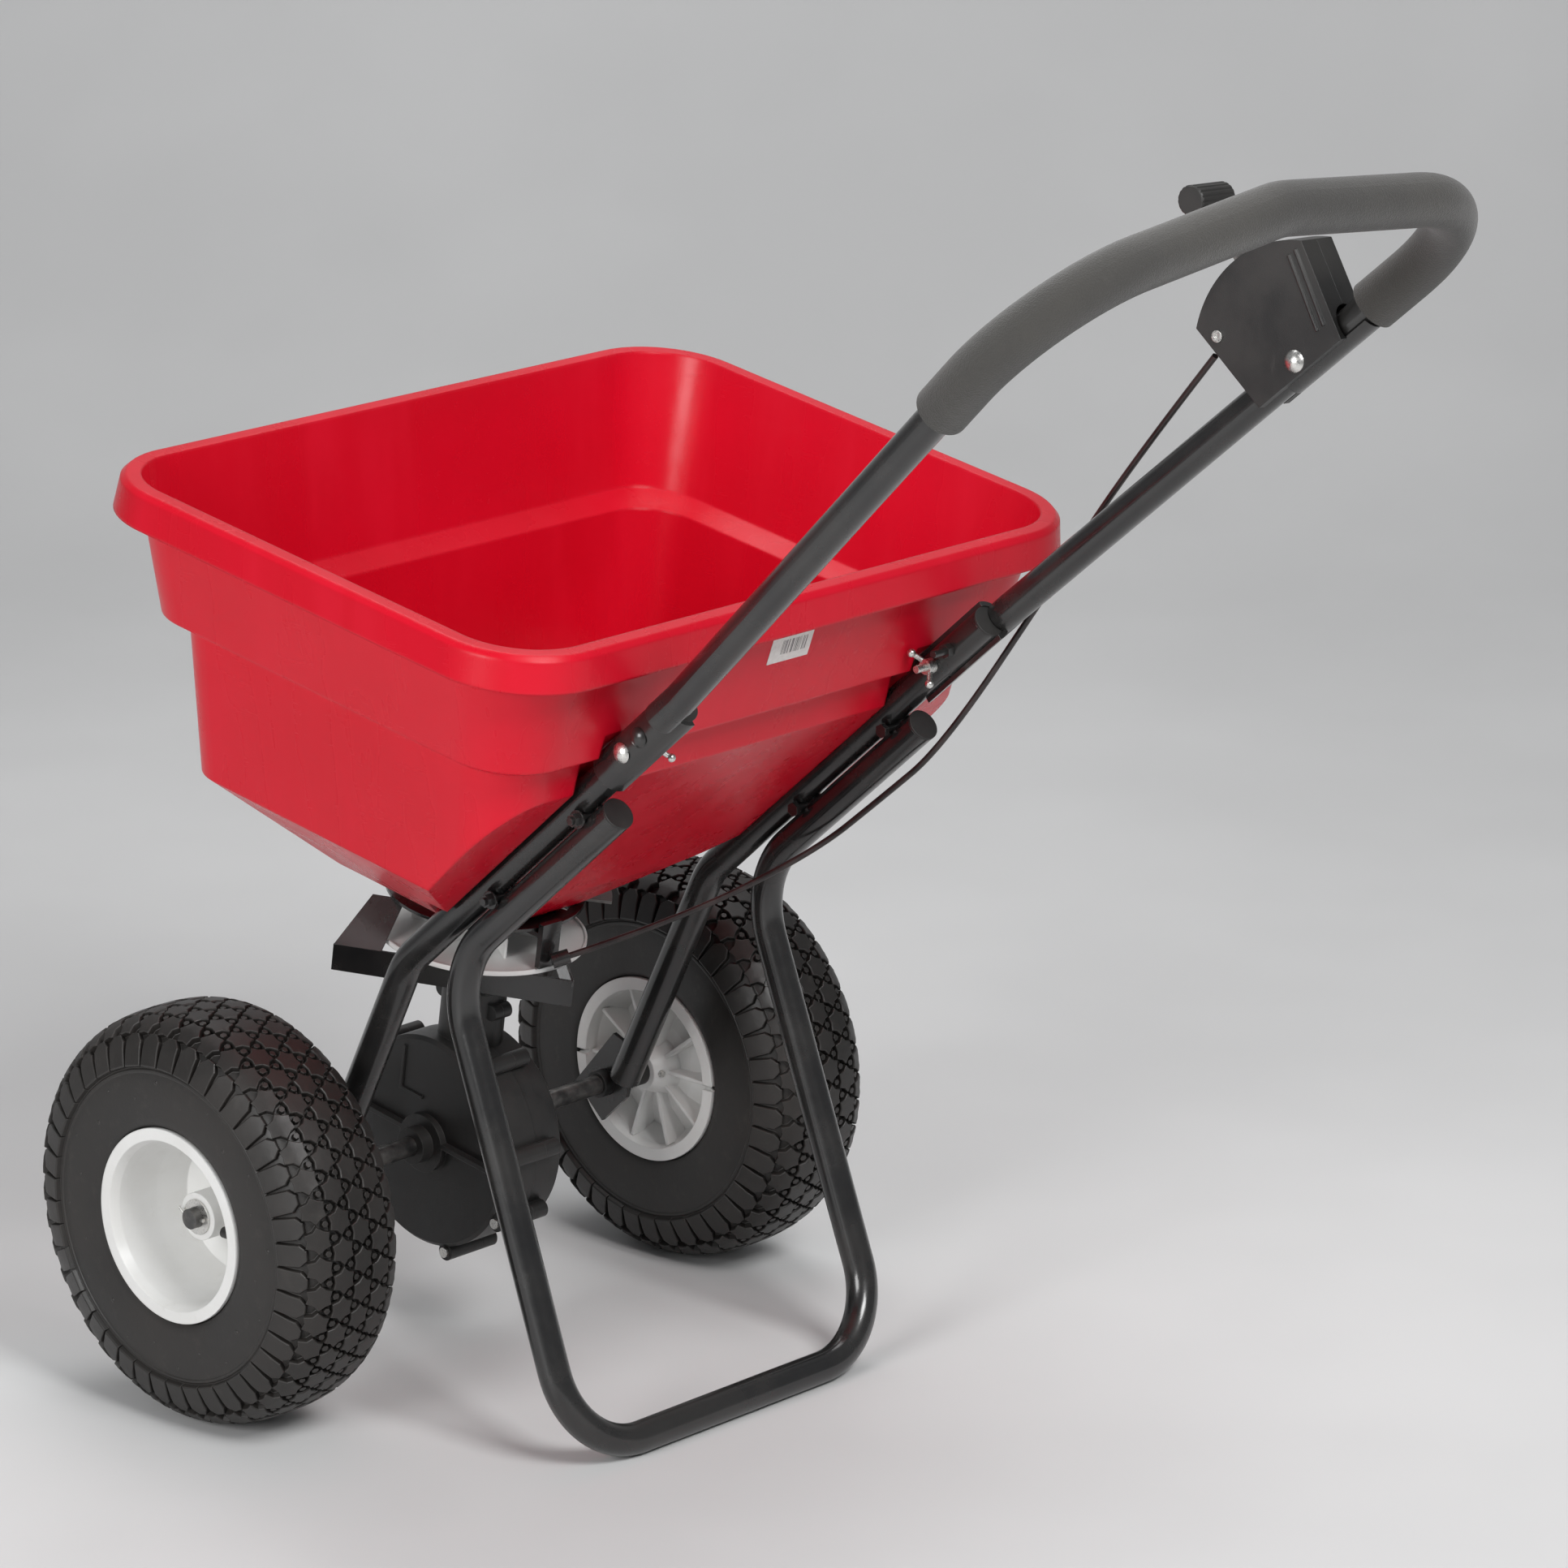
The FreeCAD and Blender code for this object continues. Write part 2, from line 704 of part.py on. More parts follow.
def lofted(sections, inset=0.0, lift=0.0):
    """A solid through rounded rectangles, each given as width, front, rear, level, corner."""
    wires = []
    for width, front, rear, level, corner in sections:
        wires.append(rounded(width - inset, front + inset, rear - inset, level,
                             max(corner - inset, 3.0)))
    wires[-1].translate(Vector(0, 0, lift))
    solid = None
    for upper, lower in zip(wires, wires[1:]):
        piece = Part.makeLoft([upper, lower], True, True)
        solid = piece if solid is None else solid.fuse(piece)
    return solid


def hopper_sections():
    """Outside of the hopper from the rim down to the throat."""
    rim = size("rim_width") - 15.0
    front = size("rim_front") + 15.0
    rear = size("rim_rear") - 15.0
    step = size("step_level")
    return [
        (rim, front, rear, size("rim_level"), 62.0),
        (rim - 22, front + 22, rear - 22, step + 8, 52.0),
        (rim - 40, front + 40, rear - 40, step - 2, 45.0),
        (rim - 55, front + 55, rear - 55, size("box_level"), 38.0),
        (150.0, -38.0, 120.0, size("trough_level"), 25.0),
        (size("throat_width"), -50.0, 66.0, size("throat_level"), 18.0),
    ]


def hopper_rim():
    """The rolled rim: a flat top band with a skirt turned down outside it."""
    width = size("rim_width")
    front = size("rim_front")
    rear = size("rim_rear")
    level = size("rim_level")
    depth = size("rim_depth")
    skirt = [
        (width, front, rear, level - depth, 76.0),
        (width - 3, front + 3, rear - 3, level - 4, 74.0),
    ]
    top = [
        (width - 3, front + 3, rear - 3, level - 4, 74.0),
        (width - 7, front + 7, rear - 7, level, 70.0),
    ]
    inside = [
        (width, front, rear, level - depth, 76.0),
        (width - 3, front + 3, rear - 3, level - 4, 74.0),
    ]
    solid = lofted(skirt).fuse(lofted(top))
    return solid.cut(lofted(inside, 3.0))


def tube_box(low_x, high_x, start, end, low, high):
    """A box in the hopper's frame laid along the frame tubes."""
    angle = size("tube_rise") + size("tilt")
    box = Part.makeBox(high_x - low_x, end - start, high - low, Vector(low_x, start, low))
    bend = Rotation(Vector(1, 0, 0), size("tilt")).multVec(BEND)
    box.Placement = Placement(bend, Rotation(Vector(1, 0, 0), angle)).multiply(box.Placement)
    return box


def hopper_cutters(wall):
    """What the slanted back and the two tube channels take away, grown by a wall."""
    half = size("tube_radius") + 0.5
    inboard = size("frame_x") - half - wall
    outboard = size("frame_x") + half + 5 + wall
    back = tube_box(-400, 400, -400, 700, -400, size("back_level") + wall)
    left = tube_box(inboard, outboard, -400, 700, -400, half + 4.5 + wall)
    right = tube_box(-outboard, -inboard, -400, 700, -400, half + 4.5 + wall)
    return [back, left, right]


def make_hopper():
    wall = size("hopper_wall")
    outer = lofted(hopper_sections()).cut(hopper_cutters(0.0))
    inner = lofted(hopper_sections(), wall, wall).cut(hopper_cutters(wall))
    floor = size("throat_level")
    shell = outer.fuse(hopper_rim()).cut(inner)
    holes = []
    for angle in (215, 270, 325):
        port = polar(33, angle, floor - 5)
        holes.append(rod(port, port + Vector(0, 0, 15), 12.0))
    holes.append(rod(Vector(0, 0, floor - 5), Vector(0, 0, floor + 12), 10.02))
    shaped("hopper", shell.cut(holes), TILTED)


def make_label():
    """A plain pale sticker on the rear wall."""
    level = 519.0
    slope = math.degrees(math.atan2(22.0, size("rim_level") - size("step_level") - 8))
    rear = size("rim_rear") - 15.0 - (size("rim_level") - level) * math.tan(math.radians(slope))
    sticker = Part.makeBox(44, 0.5, 24, Vector(-20, 0.05, -12))
    sticker.rotate(Vector(0, 0, 0), Vector(1, 0, 0), slope * -1.0)
    sticker.translate(Vector(0, rear, level))
    shaped("hopper_label", sticker, TILTED)


def make_gate():
    """Turning shut-off gate under the throat, its cover plate and three screws."""
    floor = size("throat_level")
    shaft = size("shaft_radius")
    gate = rod(Vector(0, 0, floor - 3.2), Vector(0, 0, floor - 0.5), 49.0)
    arm = Part.makeCylinder(100.0, 2.7, Vector(0, 0, floor - 3.2), Vector(0, 0, 1), 42)
    arm.rotate(Vector(0, 0, 0), Vector(0, 0, 1), 130)
    gate = gate.fuse(arm).removeSplitter()
    cuts = [rod(Vector(0, 0, floor - 8), Vector(0, 0, floor + 2), shaft + 7.2)]
    for angle in (242, 297, 352):
        port = polar(33, angle, floor - 8)
        cuts.append(rod(port, port + Vector(0, 0, 12), 12.0))
    slot = Part.makeCylinder(84.0, 6, Vector(0, 0, floor - 5), Vector(0, 0, 1), 28)
    slot = slot.cut(rod(Vector(0, 0, floor - 6), Vector(0, 0, floor + 2), 78.0))
    slot.rotate(Vector(0, 0, 0), Vector(0, 0, 1), 137)
    shaped("shut_off_gate", gate.cut(cuts + [slot]), TILTED)
    low = Vector(0, 0, floor - 6.2)
    high = Vector(0, 0, floor - 3.7)
    cover = rod(low, high, 79.0).cut(rod(low, high, shaft + 7.2))
    posts = []
    screws = []
    holes = []
    for angle in (215, 270, 325):
        port = polar(33, angle, floor - 8)
        holes.append(rod(port, port + Vector(0, 0, 8), 14.0))
    for angle in (0, 180, 245, 295):
        foot = polar(51.9, angle, floor - 3.7)
        posts.append(rod(foot - Vector(0, 0, 1), foot + Vector(0, 0, 3.7), 2.4))
        seat = polar(51.9, angle, floor - 6.2)
        screws.append(rod(seat - Vector(0, 0, 2.4), seat, 2.6))
    curved = Part.makeCylinder(70.0, 8, Vector(0, 0, floor - 9), Vector(0, 0, 1), 62)
    curved = curved.cut(rod(Vector(0, 0, floor - 10), Vector(0, 0, floor), 63.5))
    curved.rotate(Vector(0, 0, 0), Vector(0, 0, 1), 112)
    cover = cover.cut(holes + [curved]).fuse(posts)
    shaped("gate_cover", cover, TILTED)
    shaped("gate_screws", Part.makeCompound(screws), TILTED)


# ---------------------------------------------------------------- impeller and its guard

def make_guard():
    """Folded guard round the back of the impeller: a pointed strip and two sloping wings."""
    front = Vector(113, -49, 0)
    point = Vector(0, 104, 0)
    way = (point - front).normalize()
    low = Vector(0, 0, 150)
    high = Vector(0, 0, 172)
    strip = plate([front + low, point + low, point + high, front + high], 2.0)
    foot = front + Vector(0, 0, 171)
    foot_back = foot + way * 38
    head = Vector(78, -46, 207)
    head_back = head + way * 26
    wing = plate([foot, head, head_back, foot_back], 2.0)
    left = strip.fuse(wing)
    guard = left.fuse(mirrored(left)).removeSplitter()
    shaped("impeller_guard", guard, TILTED)


def make_impeller():
    """Moulded disc with a hub and slanted fins."""
    level = size("impeller_level")
    reach = size("impeller_radius")
    shaft = size("shaft_radius")
    disc = rod(Vector(0, 0, level), Vector(0, 0, level + 2.5), reach)
    lip = ring(Vector(0, 0, level), Vector(0, 0, level + 4), reach, reach - 2.0)
    hub = rod(Vector(0, 0, level - 16), Vector(0, 0, level + 21), 14.0)
    fins = []
    for step in range(6):
        fin = Part.makeBox(46, 2.4, 19, Vector(10, 4, level))
        fin.rotate(Vector(0, 0, 0), Vector(0, 0, 1), 60.0 * step)
        fins.append(fin)
    body = disc.fuse([hub, lip] + fins).removeSplitter()
    tall = Vector(0, 0, level + 40)
    limit = ring(Vector(0, 0, level - 20), tall, 200, reach)
    bore = rod(Vector(0, 0, level - 20), tall, shaft + 0.02)
    pin_way = rod(Vector(-20, 0, level - 8), Vector(20, 0, level - 8), 1.6)
    shaped("impeller", body.cut([limit, bore, pin_way]), TILTED)
    pin = rod(Vector(-15.5, 0, level - 8), Vector(15.5, 0, level - 8), 1.5)
    shaped("impeller_pin", pin, TILTED)


def make_impeller_shaft():
    """Upright shaft from the pinion to the agitator, with its two bushes."""
    level = size("impeller_level")
    floor = size("throat_level")
    shaft = size("shaft_radius")
    body = rod(Vector(0, 0, 47), Vector(0, 0, floor + 42), shaft)
    cross = rod(Vector(-20, 0, level - 8), Vector(20, 0, level - 8), 1.5)
    shaped("impeller_shaft", body.cut(cross), TILTED)
    upright("neck_bush", [
        ("dims.shaft_radius + dims.run_gap", "84"), ("10", "84"), ("10", "dims.neck_top + 0.05"),
        ("15", "dims.neck_top + 0.05"), ("15", "dims.neck_top + 2.5"),
        ("dims.shaft_radius + dims.run_gap", "dims.neck_top + 2.5"),
    ])
    upright("throat_bush", [
        ("dims.shaft_radius + dims.run_gap", "dims.throat_level - 2.5"),
        ("10", "dims.throat_level - 2.5"),
        ("10", "dims.throat_level + dims.hopper_wall + 0.05"),
        ("14", "dims.throat_level + dims.hopper_wall + 0.05"),
        ("14", "dims.throat_level + dims.hopper_wall + 2.5"),
        ("dims.shaft_radius + dims.run_gap", "dims.throat_level + dims.hopper_wall + 2.5"),
    ])


def make_agitator():
    """Cross arm on the top of the shaft that stirs the feed over the ports."""
    level = size("throat_level") + 18.0
    hub = rod(Vector(0, 0, level - 7), Vector(0, 0, level + 9), 11.0)
    arm = rod(Vector(-31, 0, level), Vector(31, 0, level), 3.0)
    for way in (1, -1):
        tip = Vector(31.0 * way, 0, level)
        arm = arm.fuse(rod(tip - Vector(0, 0, 4), tip + Vector(0, 0, 14), 3.6))
    bore = rod(Vector(0, 0, level - 20), Vector(0, 0, level + 20), size("shaft_radius") + 0.02)
    shaped("agitator", hub.fuse(arm).removeSplitter().cut(bore), TILTED)


# ---------------------------------------------------------------- gearbox

def case_half(face, radius, sign):
    """One half of the round gear casing, with its boss on the axle and half the neck."""
    wall = size("case_wall")
    out = Vector(sign, 0, 0)
    zero = Vector(sign * 0.05, 0, 0)
    shell = rod(zero, out * (face - 3), radius)
    edge = Part.makeCone(radius, radius - 3, 3, out * (face - 3), out)
    boss = rod(out * (face - 2), out * (face + 17), 15.0)
    collar = rod(out * (face - 2), out * (face + 6), 24.0)
    neck = rod(Vector(0, 0, radius - 12), Vector(0, 0, size("neck_top")), size("neck_radius"))
    side = Part.makeBox(200, 400, 400, Vector(0.05 if sign > 0 else -200.05, -200, -200))
    body = shell.fuse([edge, collar, boss, neck.common(side)])
    for reach in (-1, 1):
        spot = Vector(0, reach * (size("neck_radius") + 2.0), size("neck_top") - 14)
        body = body.fuse(rod(zero + spot, out * 9 + spot, 6.5))
    cavity = rod(-out, out * (face - wall), radius - wall)
    bore = rod(-out, out * (face + 30), size("axle_radius") + size("run_gap"))
    well = rod(Vector(0, 0, 0), Vector(0, 0, size("neck_top") + 5), 10.02)
    return body.cut([cavity, bore, well])


def case_screw_spots():
    """Where the casing screws stand round the edge, as points in the middle plane."""
    spots = []
    for angle in (12, 60, 142, 225, 290, 335):
        spots.append(polar(size("case_radius") + 4.6, angle))
    return [Vector(0, spot.x, spot.y) for spot in spots]


def make_gearbox():
    out = Vector(1, 0, 0)
    radius = size("case_radius")
    spots = case_screw_spots()
    face = size("case_left")
    holes = [rod(spot - out * 30, spot + out * 60, 2.2) for spot in spots]
    left_lugs = [rod(spot + out * 0.05, spot + out * (face - 3), 7.2) for spot in spots]
    right_lugs = [rod(spot - out * 0.05, spot - out * 16, 7.2) for spot in spots]
    cavity = rod(-out * 60, out * 60, radius - size("case_wall"))
    left = case_half(face, radius, 1)
    right = case_half(size("case_right"), radius - 1, -1)
    left = left.fuse([lug.cut(cavity) for lug in left_lugs]).cut(holes)
    right = right.fuse([lug.cut(cavity) for lug in right_lugs]).cut(holes)
    shelf = Part.makeBox(7.0, 2 * radius - 26, 4.0, Vector(face - 1.0, 13 - radius, 4))
    rib = Part.makeBox(2.5, 2.5, 38, Vector(face - 1.0, -34, 34))
    rib = rib.fuse(Part.makeBox(2.5, 26, 2.5, Vector(face - 1.0, -34, 34)))
    bore = rod(-out, out * (face + 30), size("axle_radius") + size("run_gap"))
    left = left.fuse([shelf, rib]).cut(bore)
    shaped("gearbox_left", left, TILTED)
    shaped("gearbox_right", right, TILTED)
    screws = []
    for spot in spots:
        head = rod(spot + out * (face - 2.95), spot + out * (face - 0.4), 4.2)
        screws.append(head.fuse(rod(spot - out * 10, spot + out * (face - 2.95), 2.15)))
    shaped("gearbox_screws", Part.makeCompound(screws), TILTED)


def crown_tooth(angle, inner, outer):
    """One straight tooth of the face gear, standing towards the pinion."""
    pitch_x = 0.5 * size("gear_module") * size("pinion_teeth")
    pitch_radius = 0.5 * size("gear_module") * size("gear_teeth")
    wires = []
    for radius in (inner, outer):
        share = radius / pitch_radius
        tip, root = 0.9 * share, 2.5 * share
        corners = [
            Vector(pitch_x - 1.7, -tip, radius), Vector(pitch_x - 1.7, tip, radius),
            Vector(pitch_x + 3.3, root, radius), Vector(pitch_x + 3.3, -root, radius),
        ]
        wires.append(Part.makePolygon(corners + corners[:1]))
    tooth = Part.makeLoft(wires, True, True)
    tooth.rotate(Vector(0, 0, 0), Vector(1, 0, 0), angle)
    return tooth


def make_drive_gear():
    """Face gear on the axle: a disc with a hub and one ring of teeth."""
    count = int(size("gear_teeth"))
    pitch_x = 0.5 * size("gear_module") * size("pinion_teeth")
    pitch_radius = 0.5 * size("gear_module") * count
    inner, outer = pitch_radius - 3.0, pitch_radius + 3.0
    back = pitch_x + 8.0
    disc = rod(Vector(pitch_x + 3.0, 0, 0), Vector(back, 0, 0), outer + 2.0)
    hub = rod(Vector(8, 0, 0), Vector(back + 3, 0, 0), 17.0)
    teeth = [crown_tooth(360.0 * (step + 0.5) / count, inner, outer) for step in range(count)]
    bore = rod(Vector(0, 0, 0), Vector(60, 0, 0), size("axle_radius") + 0.02)
    pin_way = rod(Vector(12, 0, -20), Vector(12, 0, 20), 2.1)
    gear = disc.fuse([hub] + teeth).cut([bore, pin_way])
    shaped("drive_gear", gear, TILTED)
    shaped("gear_pin", rod(Vector(12, 0, -16.5), Vector(12, 0, 16.5), 2.0), TILTED)


def make_pinion():
    """Small gear on the foot of the upright shaft."""
    count = int(size("pinion_teeth"))
    pitch = 0.5 * size("gear_module") * count
    pitch_radius = 0.5 * size("gear_module") * size("gear_teeth")
    root, tip = pitch - 2.6, pitch + 2.0
    low, high = pitch_radius - 6.0, pitch_radius + 5.0
    teeth = []
    for step in range(count):
        corners = [
            Vector(root - 1, -2.3, low), Vector(pitch, -1.45, low), Vector(tip, -0.6, low),
            Vector(tip, 0.6, low), Vector(pitch, 1.45, low), Vector(root - 1, 2.3, low),
        ]
        face = Part.Face(Part.makePolygon(corners + corners[:1]))
        tooth = face.extrude(Vector(0, 0, high - low))
        tooth.rotate(Vector(0, 0, 0), Vector(0, 0, 1), 360.0 * step / count)
        teeth.append(tooth)
    core = rod(Vector(0, 0, low), Vector(0, 0, high), root)
    collar = rod(Vector(0, 0, high), Vector(0, 0, high + 10), 9.5)
    bore = rod(Vector(0, 0, low - 1), Vector(0, 0, high + 20), size("shaft_radius") + 0.02)
    shaped("pinion", core.fuse([collar] + teeth).cut(bore), TILTED)


# ---------------------------------------------------------------- axle and wheels

def make_axle():
    half = size("axle_half")
    shaft = rod(Vector(-half, 0, 0), Vector(half, 0, 0), size("axle_radius"))
    ends = [rod(Vector(side * (half - 5), -20, 0), Vector(side * (half - 5), 20, 0), 1.7)
            for side in (1, -1)]
    drive = rod(Vector(-drive_pin_x(), -40, 0), Vector(-drive_pin_x(), 40, 0), 2.6)
    shaped("axle", shaft.cut(ends + [drive, tilt_pin_way()]))


def tilt_pin_way():
    """Hole in the axle for the drive gear's pin, which stands along the tilted shaft."""
    way = rod(Vector(12, 0, -20), Vector(12, 0, 20), 2.0)
    way.rotate(Vector(0, 0, 0), Vector(1, 0, 0), -size("tilt"))
    return way


def drive_pin_x():
    """Distance from the middle to the pin that drives the right wheel."""
    return size("wheel_x") - size("hub_in") + 6.0


def wheel_frame(side):
    """Placement of a wheel: local +X points outward from the spreader."""
    turn = Rotation() if side > 0 else Rotation(Vector(0, 0, 1), 180)
    return Placement(AXLE + Vector(side * size("wheel_x"), 0, 0), turn)


def rim_points():
    """Rim section: inner flange, dish wall, deep dish, hub and outer flange."""
    bore = "dims.axle_radius + dims.run_gap"
    return [
        ("-dims.rim_half", "dims.bead_radius - 4"), ("-dims.rim_half", "dims.flange_radius"),
        ("-dims.rim_half + 4", "dims.flange_radius"), ("-dims.rim_half + 5", "dims.bead_radius"),
        ("dims.rim_half - 5", "dims.bead_radius"), ("dims.rim_half - 4", "dims.flange_radius"),
        ("dims.rim_half", "dims.flange_radius"), ("dims.rim_half", "dims.bead_radius - 3"),
        ("dims.rim_half - 8", "dims.bead_radius - 6"), ("10", "dims.bead_radius - 12"),
        ("-16", "dims.bead_radius - 18"), ("-27", "dims.hub_radius + 16"),
        ("-28", "dims.hub_radius"), ("dims.hub_out", "dims.hub_radius"),
        ("dims.hub_out", bore), ("-dims.hub_in", bore), ("-dims.hub_in", "dims.hub_radius - 3"),
        ("-dims.hub_in + 12", "dims.hub_radius + 2"), ("-33", "dims.hub_radius + 6"),
        ("-32", "dims.hub_radius + 18"), ("-22", "dims.bead_radius - 13"),
        ("-dims.rim_half + 12", "dims.bead_radius - 5"),
    ]


def make_rim(name, side):
    """Moulded rim with radial ribs on its inner face."""
    body = turned(name + "_rim", rim_points(), wheel_frame(side))
    rib = outline(body, "XY_Plane", [
        ("-dims.hub_in + 12", "dims.hub_radius"), ("-28", "dims.hub_radius"),
        ("-24", "dims.bead_radius - 20"), ("-22", "dims.bead_radius - 8"),
        ("-dims.rim_half + 6", "dims.bead_radius - 5"),
    ], "Rib")
    pad = body.newObject("PartDesign::Pad", "RibPad")
    pad.Profile = rib
    pad.Midplane = True
    pad.Length = 3.2
    document.recompute()
    ring_of_ribs = body.newObject("PartDesign::PolarPattern", "Ribs")
    ring_of_ribs.Originals = [pad]
    ring_of_ribs.Axis = (rib, ["H_Axis"])
    ring_of_ribs.Angle = 360
    ring_of_ribs.setExpression("Occurrences", "dims.spoke_count")
    body.Tip = ring_of_ribs
    document.recompute()
    stem_way = circles(body, "XZ_Plane", [("30", "0", "dims.stem_radius + 0.4")], "StemWay")
    stem_hole = body.newObject("PartDesign::Pocket", "StemHole")
    stem_hole.Profile = stem_way
    stem_hole.Type = "ThroughAll"
    stem_hole.Reversed = False
    document.recompute()
    if side < 0:
        way = circles(body, "XZ_Plane", [("-dims.hub_in + 6", "0", "2.6")], "PinWay")
        pocket = body.newObject("PartDesign::Pocket", "PinHole")
        pocket.Profile = way
        pocket.Type = "ThroughAll"
        pocket.Midplane = True
        document.recompute()


def tyre_points():
    """Tyre section, open towards the rim: half the outside, then the inside back again."""
    half = "dims.tyre_half"
    crown = "dims.tyre_radius"
    bead = "dims.bead_radius + 0.1"
    outside = [
        ("dims.rim_half - 5.5", bead), ("dims.rim_half - 4.6", "dims.flange_radius + 0.5"),
        (half + " - 0.8", "dims.flange_radius + 3"), (half, "dims.flange_radius + 20"),
        (half + " - 1", crown + " - 34"), (half + " - 6", crown + " - 13"),
        (half + " - 20", crown + " - 4"), ("14", crown),
    ]
    inside = [
        ("14", crown + " - 13"), (half + " - 21", crown + " - 16"),
        (half + " - 12", crown + " - 26"), (half + " - 8", crown + " - 40"),
        (half + " - 7", "dims.flange_radius + 20"), ("dims.rim_half - 14", bead),
    ]
    left_out = [("-(%s)" % across, up) for across, up in reversed(outside)]
    left_in = [("-(%s)" % across, up) for across, up in reversed(inside)]
    return outside + left_out + left_in + inside


def make_wheel(name, side):
    make_rim(name, side)
    turned(name + "_tyre", tyre_points(), wheel_frame(side))
    radius = size("stem_radius")
    root = Vector(30, size("bead_radius") - 0.2, 0)
    cap = rod(Vector(30, 54, 0), Vector(30, 41, 0), 4.4)
    stem = rod(root, Vector(30, 42, 0), radius).fuse(cap)
    shaped(name + "_valve_stem", stem, wheel_frame(side))


def cotter(point, way, length, radius):
    """A split pin: two legs through the shaft and a round eye."""
    up = Vector(0, 0, 1)
    stem = rod(point - way * (length * 0.5), point + way * (length * 0.5), radius)
    eye = Part.makeTorus(3.4, radius, point + way * (length * 0.5 + 3.2), Vector(1, 0, 0))
    leg = rod(point - way * (length * 0.5 - 0.5), point - way * (length * 0.5 + 6) + up * 5, radius * 0.7)
    return stem.fuse([eye, leg])


def make_axle_hardware():
    """Washers, split pins and spacers along the axle."""
    half = size("axle_half")
    radius = size("axle_radius")
    back = Vector(0, 1, 0)
    pins = [cotter(Vector(side * (half - 5), 0, 0), back, 22.0, 1.6) for side in (1, -1)]
    shaped("axle_end_pins", Part.makeCompound(pins))
    hub_face = size("wheel_x") + size("hub_out")
    washers = []
    for side in (1, -1):
        start = Vector(side * (hub_face + 0.4), 0, 0)
        end = Vector(side * (hub_face + 2.0), 0, 0)
        washers.append(ring(start, end, 14.0, radius + 0.05))
    shaped("axle_washers", Part.makeCompound(washers))
    inner = size("frame_x") + 12.4
    outer = size("wheel_x") - size("hub_in") - 0.4
    for side, name in ((1, "left"), (-1, "right")):
        sleeve = ring(Vector(side * inner, 0, 0), Vector(side * outer, 0, 0), 11.5, radius + 0.04)
        shaped("axle_spacer_" + name, sleeve)
    pin = cotter(Vector(-drive_pin_x(), 0, 0), back, 2 * size("hub_radius") + 4, 2.5)
    shaped("drive_pin", pin)


# ---------------------------------------------------------------- cable

def control_point(across, up, out):
    """A point of the control's frame, about the axle."""
    frame = LEVEL.inverse().multiply(control_frame())
    return frame.multVec(Vector(across, up, out))


def cable_start():
    """The cable's end in the bracket's ferrule, and the next corner of its route."""
    return [from_hopper(Vector(10, 91.5, 187)), Vector(-70, 176, 196)]


def from_hopper(point):
    """A point given in the hopper's tilted frame, about the axle in the level frame."""
    return LEVEL.inverse().multiply(TILTED).multVec(point)


def to_hopper(point):
    return TILTED.inverse().multiply(LEVEL).multVec(point)


def make_cable():
    """Control cable: round the leg, down behind the stand tube, forward to the bracket."""
    behind = size("stand_gap") + size("tube_radius") + size("cable_radius")
    low = on_tube(112.0, behind + 5.0)
    low.x = -162
    middle = on_tube(200.0, behind + 7.5)
    middle.x = -164
    high = on_tube(283.0, behind + 8.0)
    high.x = -168
    past_leg = on_tube(438.6, -7.1)
    past_leg.x = -212
    corners = cable_start() + [
        low,
        middle,
        high,
        past_leg,
        Vector(-208, 521, 596),
        control_point(-59.0, 44, 13),
    ]
    radii = [60.0, 60.0, 400.0, 200.0, 150.0, 400.0]
    path = bent_path(corners, radii)
    print("cable bend radii", radii)
    radius = size("cable_radius")
    cable = swept(path, radius)
    print("cable length %.1f mm, volume %.1f, section x length %.1f" % (
        path.Length, cable.Volume, math.pi * radius * radius * path.Length))
    shaped("control_cable", cable)


def make_cable_bracket():
    """Bracket in front of the cover plate, with a ferrule round the cable's end."""
    floor = size("throat_level")
    post = Part.makeBox(20, 5, 37, Vector(0, 80.5, floor - 35.5))
    foot = Part.makeBox(20, 33, 4, Vector(0, 50, floor - 10.4))
    start, after = [to_hopper(point) for point in cable_start()]
    way = (after - start).normalize()
    ferrule = rod(start - way * 2, start + way * 12, 6.0)
    bracket = post.fuse([foot, ferrule]).removeSplitter()
    bore = rod(start - way * 5, start + way * 20, size("cable_radius") + 0.02)
    shaped("cable_bracket", bracket.cut(bore), TILTED)


# ---------------------------------------------------------------- build

make_main_tubes()
make_stand()
make_caps()
make_axle_plates()
make_frame_fasteners()
make_handle()
make_grip()
make_handle_fasteners()
make_control_housing()
make_lever()
make_rate_stop()
make_control_fasteners()
make_hopper()
make_label()
make_gate()
make_guard()
make_impeller()
make_impeller_shaft()
make_agitator()
make_gearbox()
make_drive_gear()
make_pinion()
make_axle()
make_wheel("left", 1)
make_wheel("right", -1)
make_axle_hardware()
make_cable()
make_cable_bracket()

document.recompute()
os.makedirs("parts", exist_ok=True)
for item in finished:
    broken = [flag for flag in item.State if flag in ("Invalid", "Error")]
    shape = item.Shape
    if broken or shape.isNull() or not shape.isValid():
        raise RuntimeError("%s is not a valid shape %s" % (item.Label, item.State))
    shape.exportStep("parts/%s.step" % item.Label)
print("%d sub-parts written" % len(finished))
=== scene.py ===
import math

import bmesh
import bpy
from mathutils import Matrix, Vector


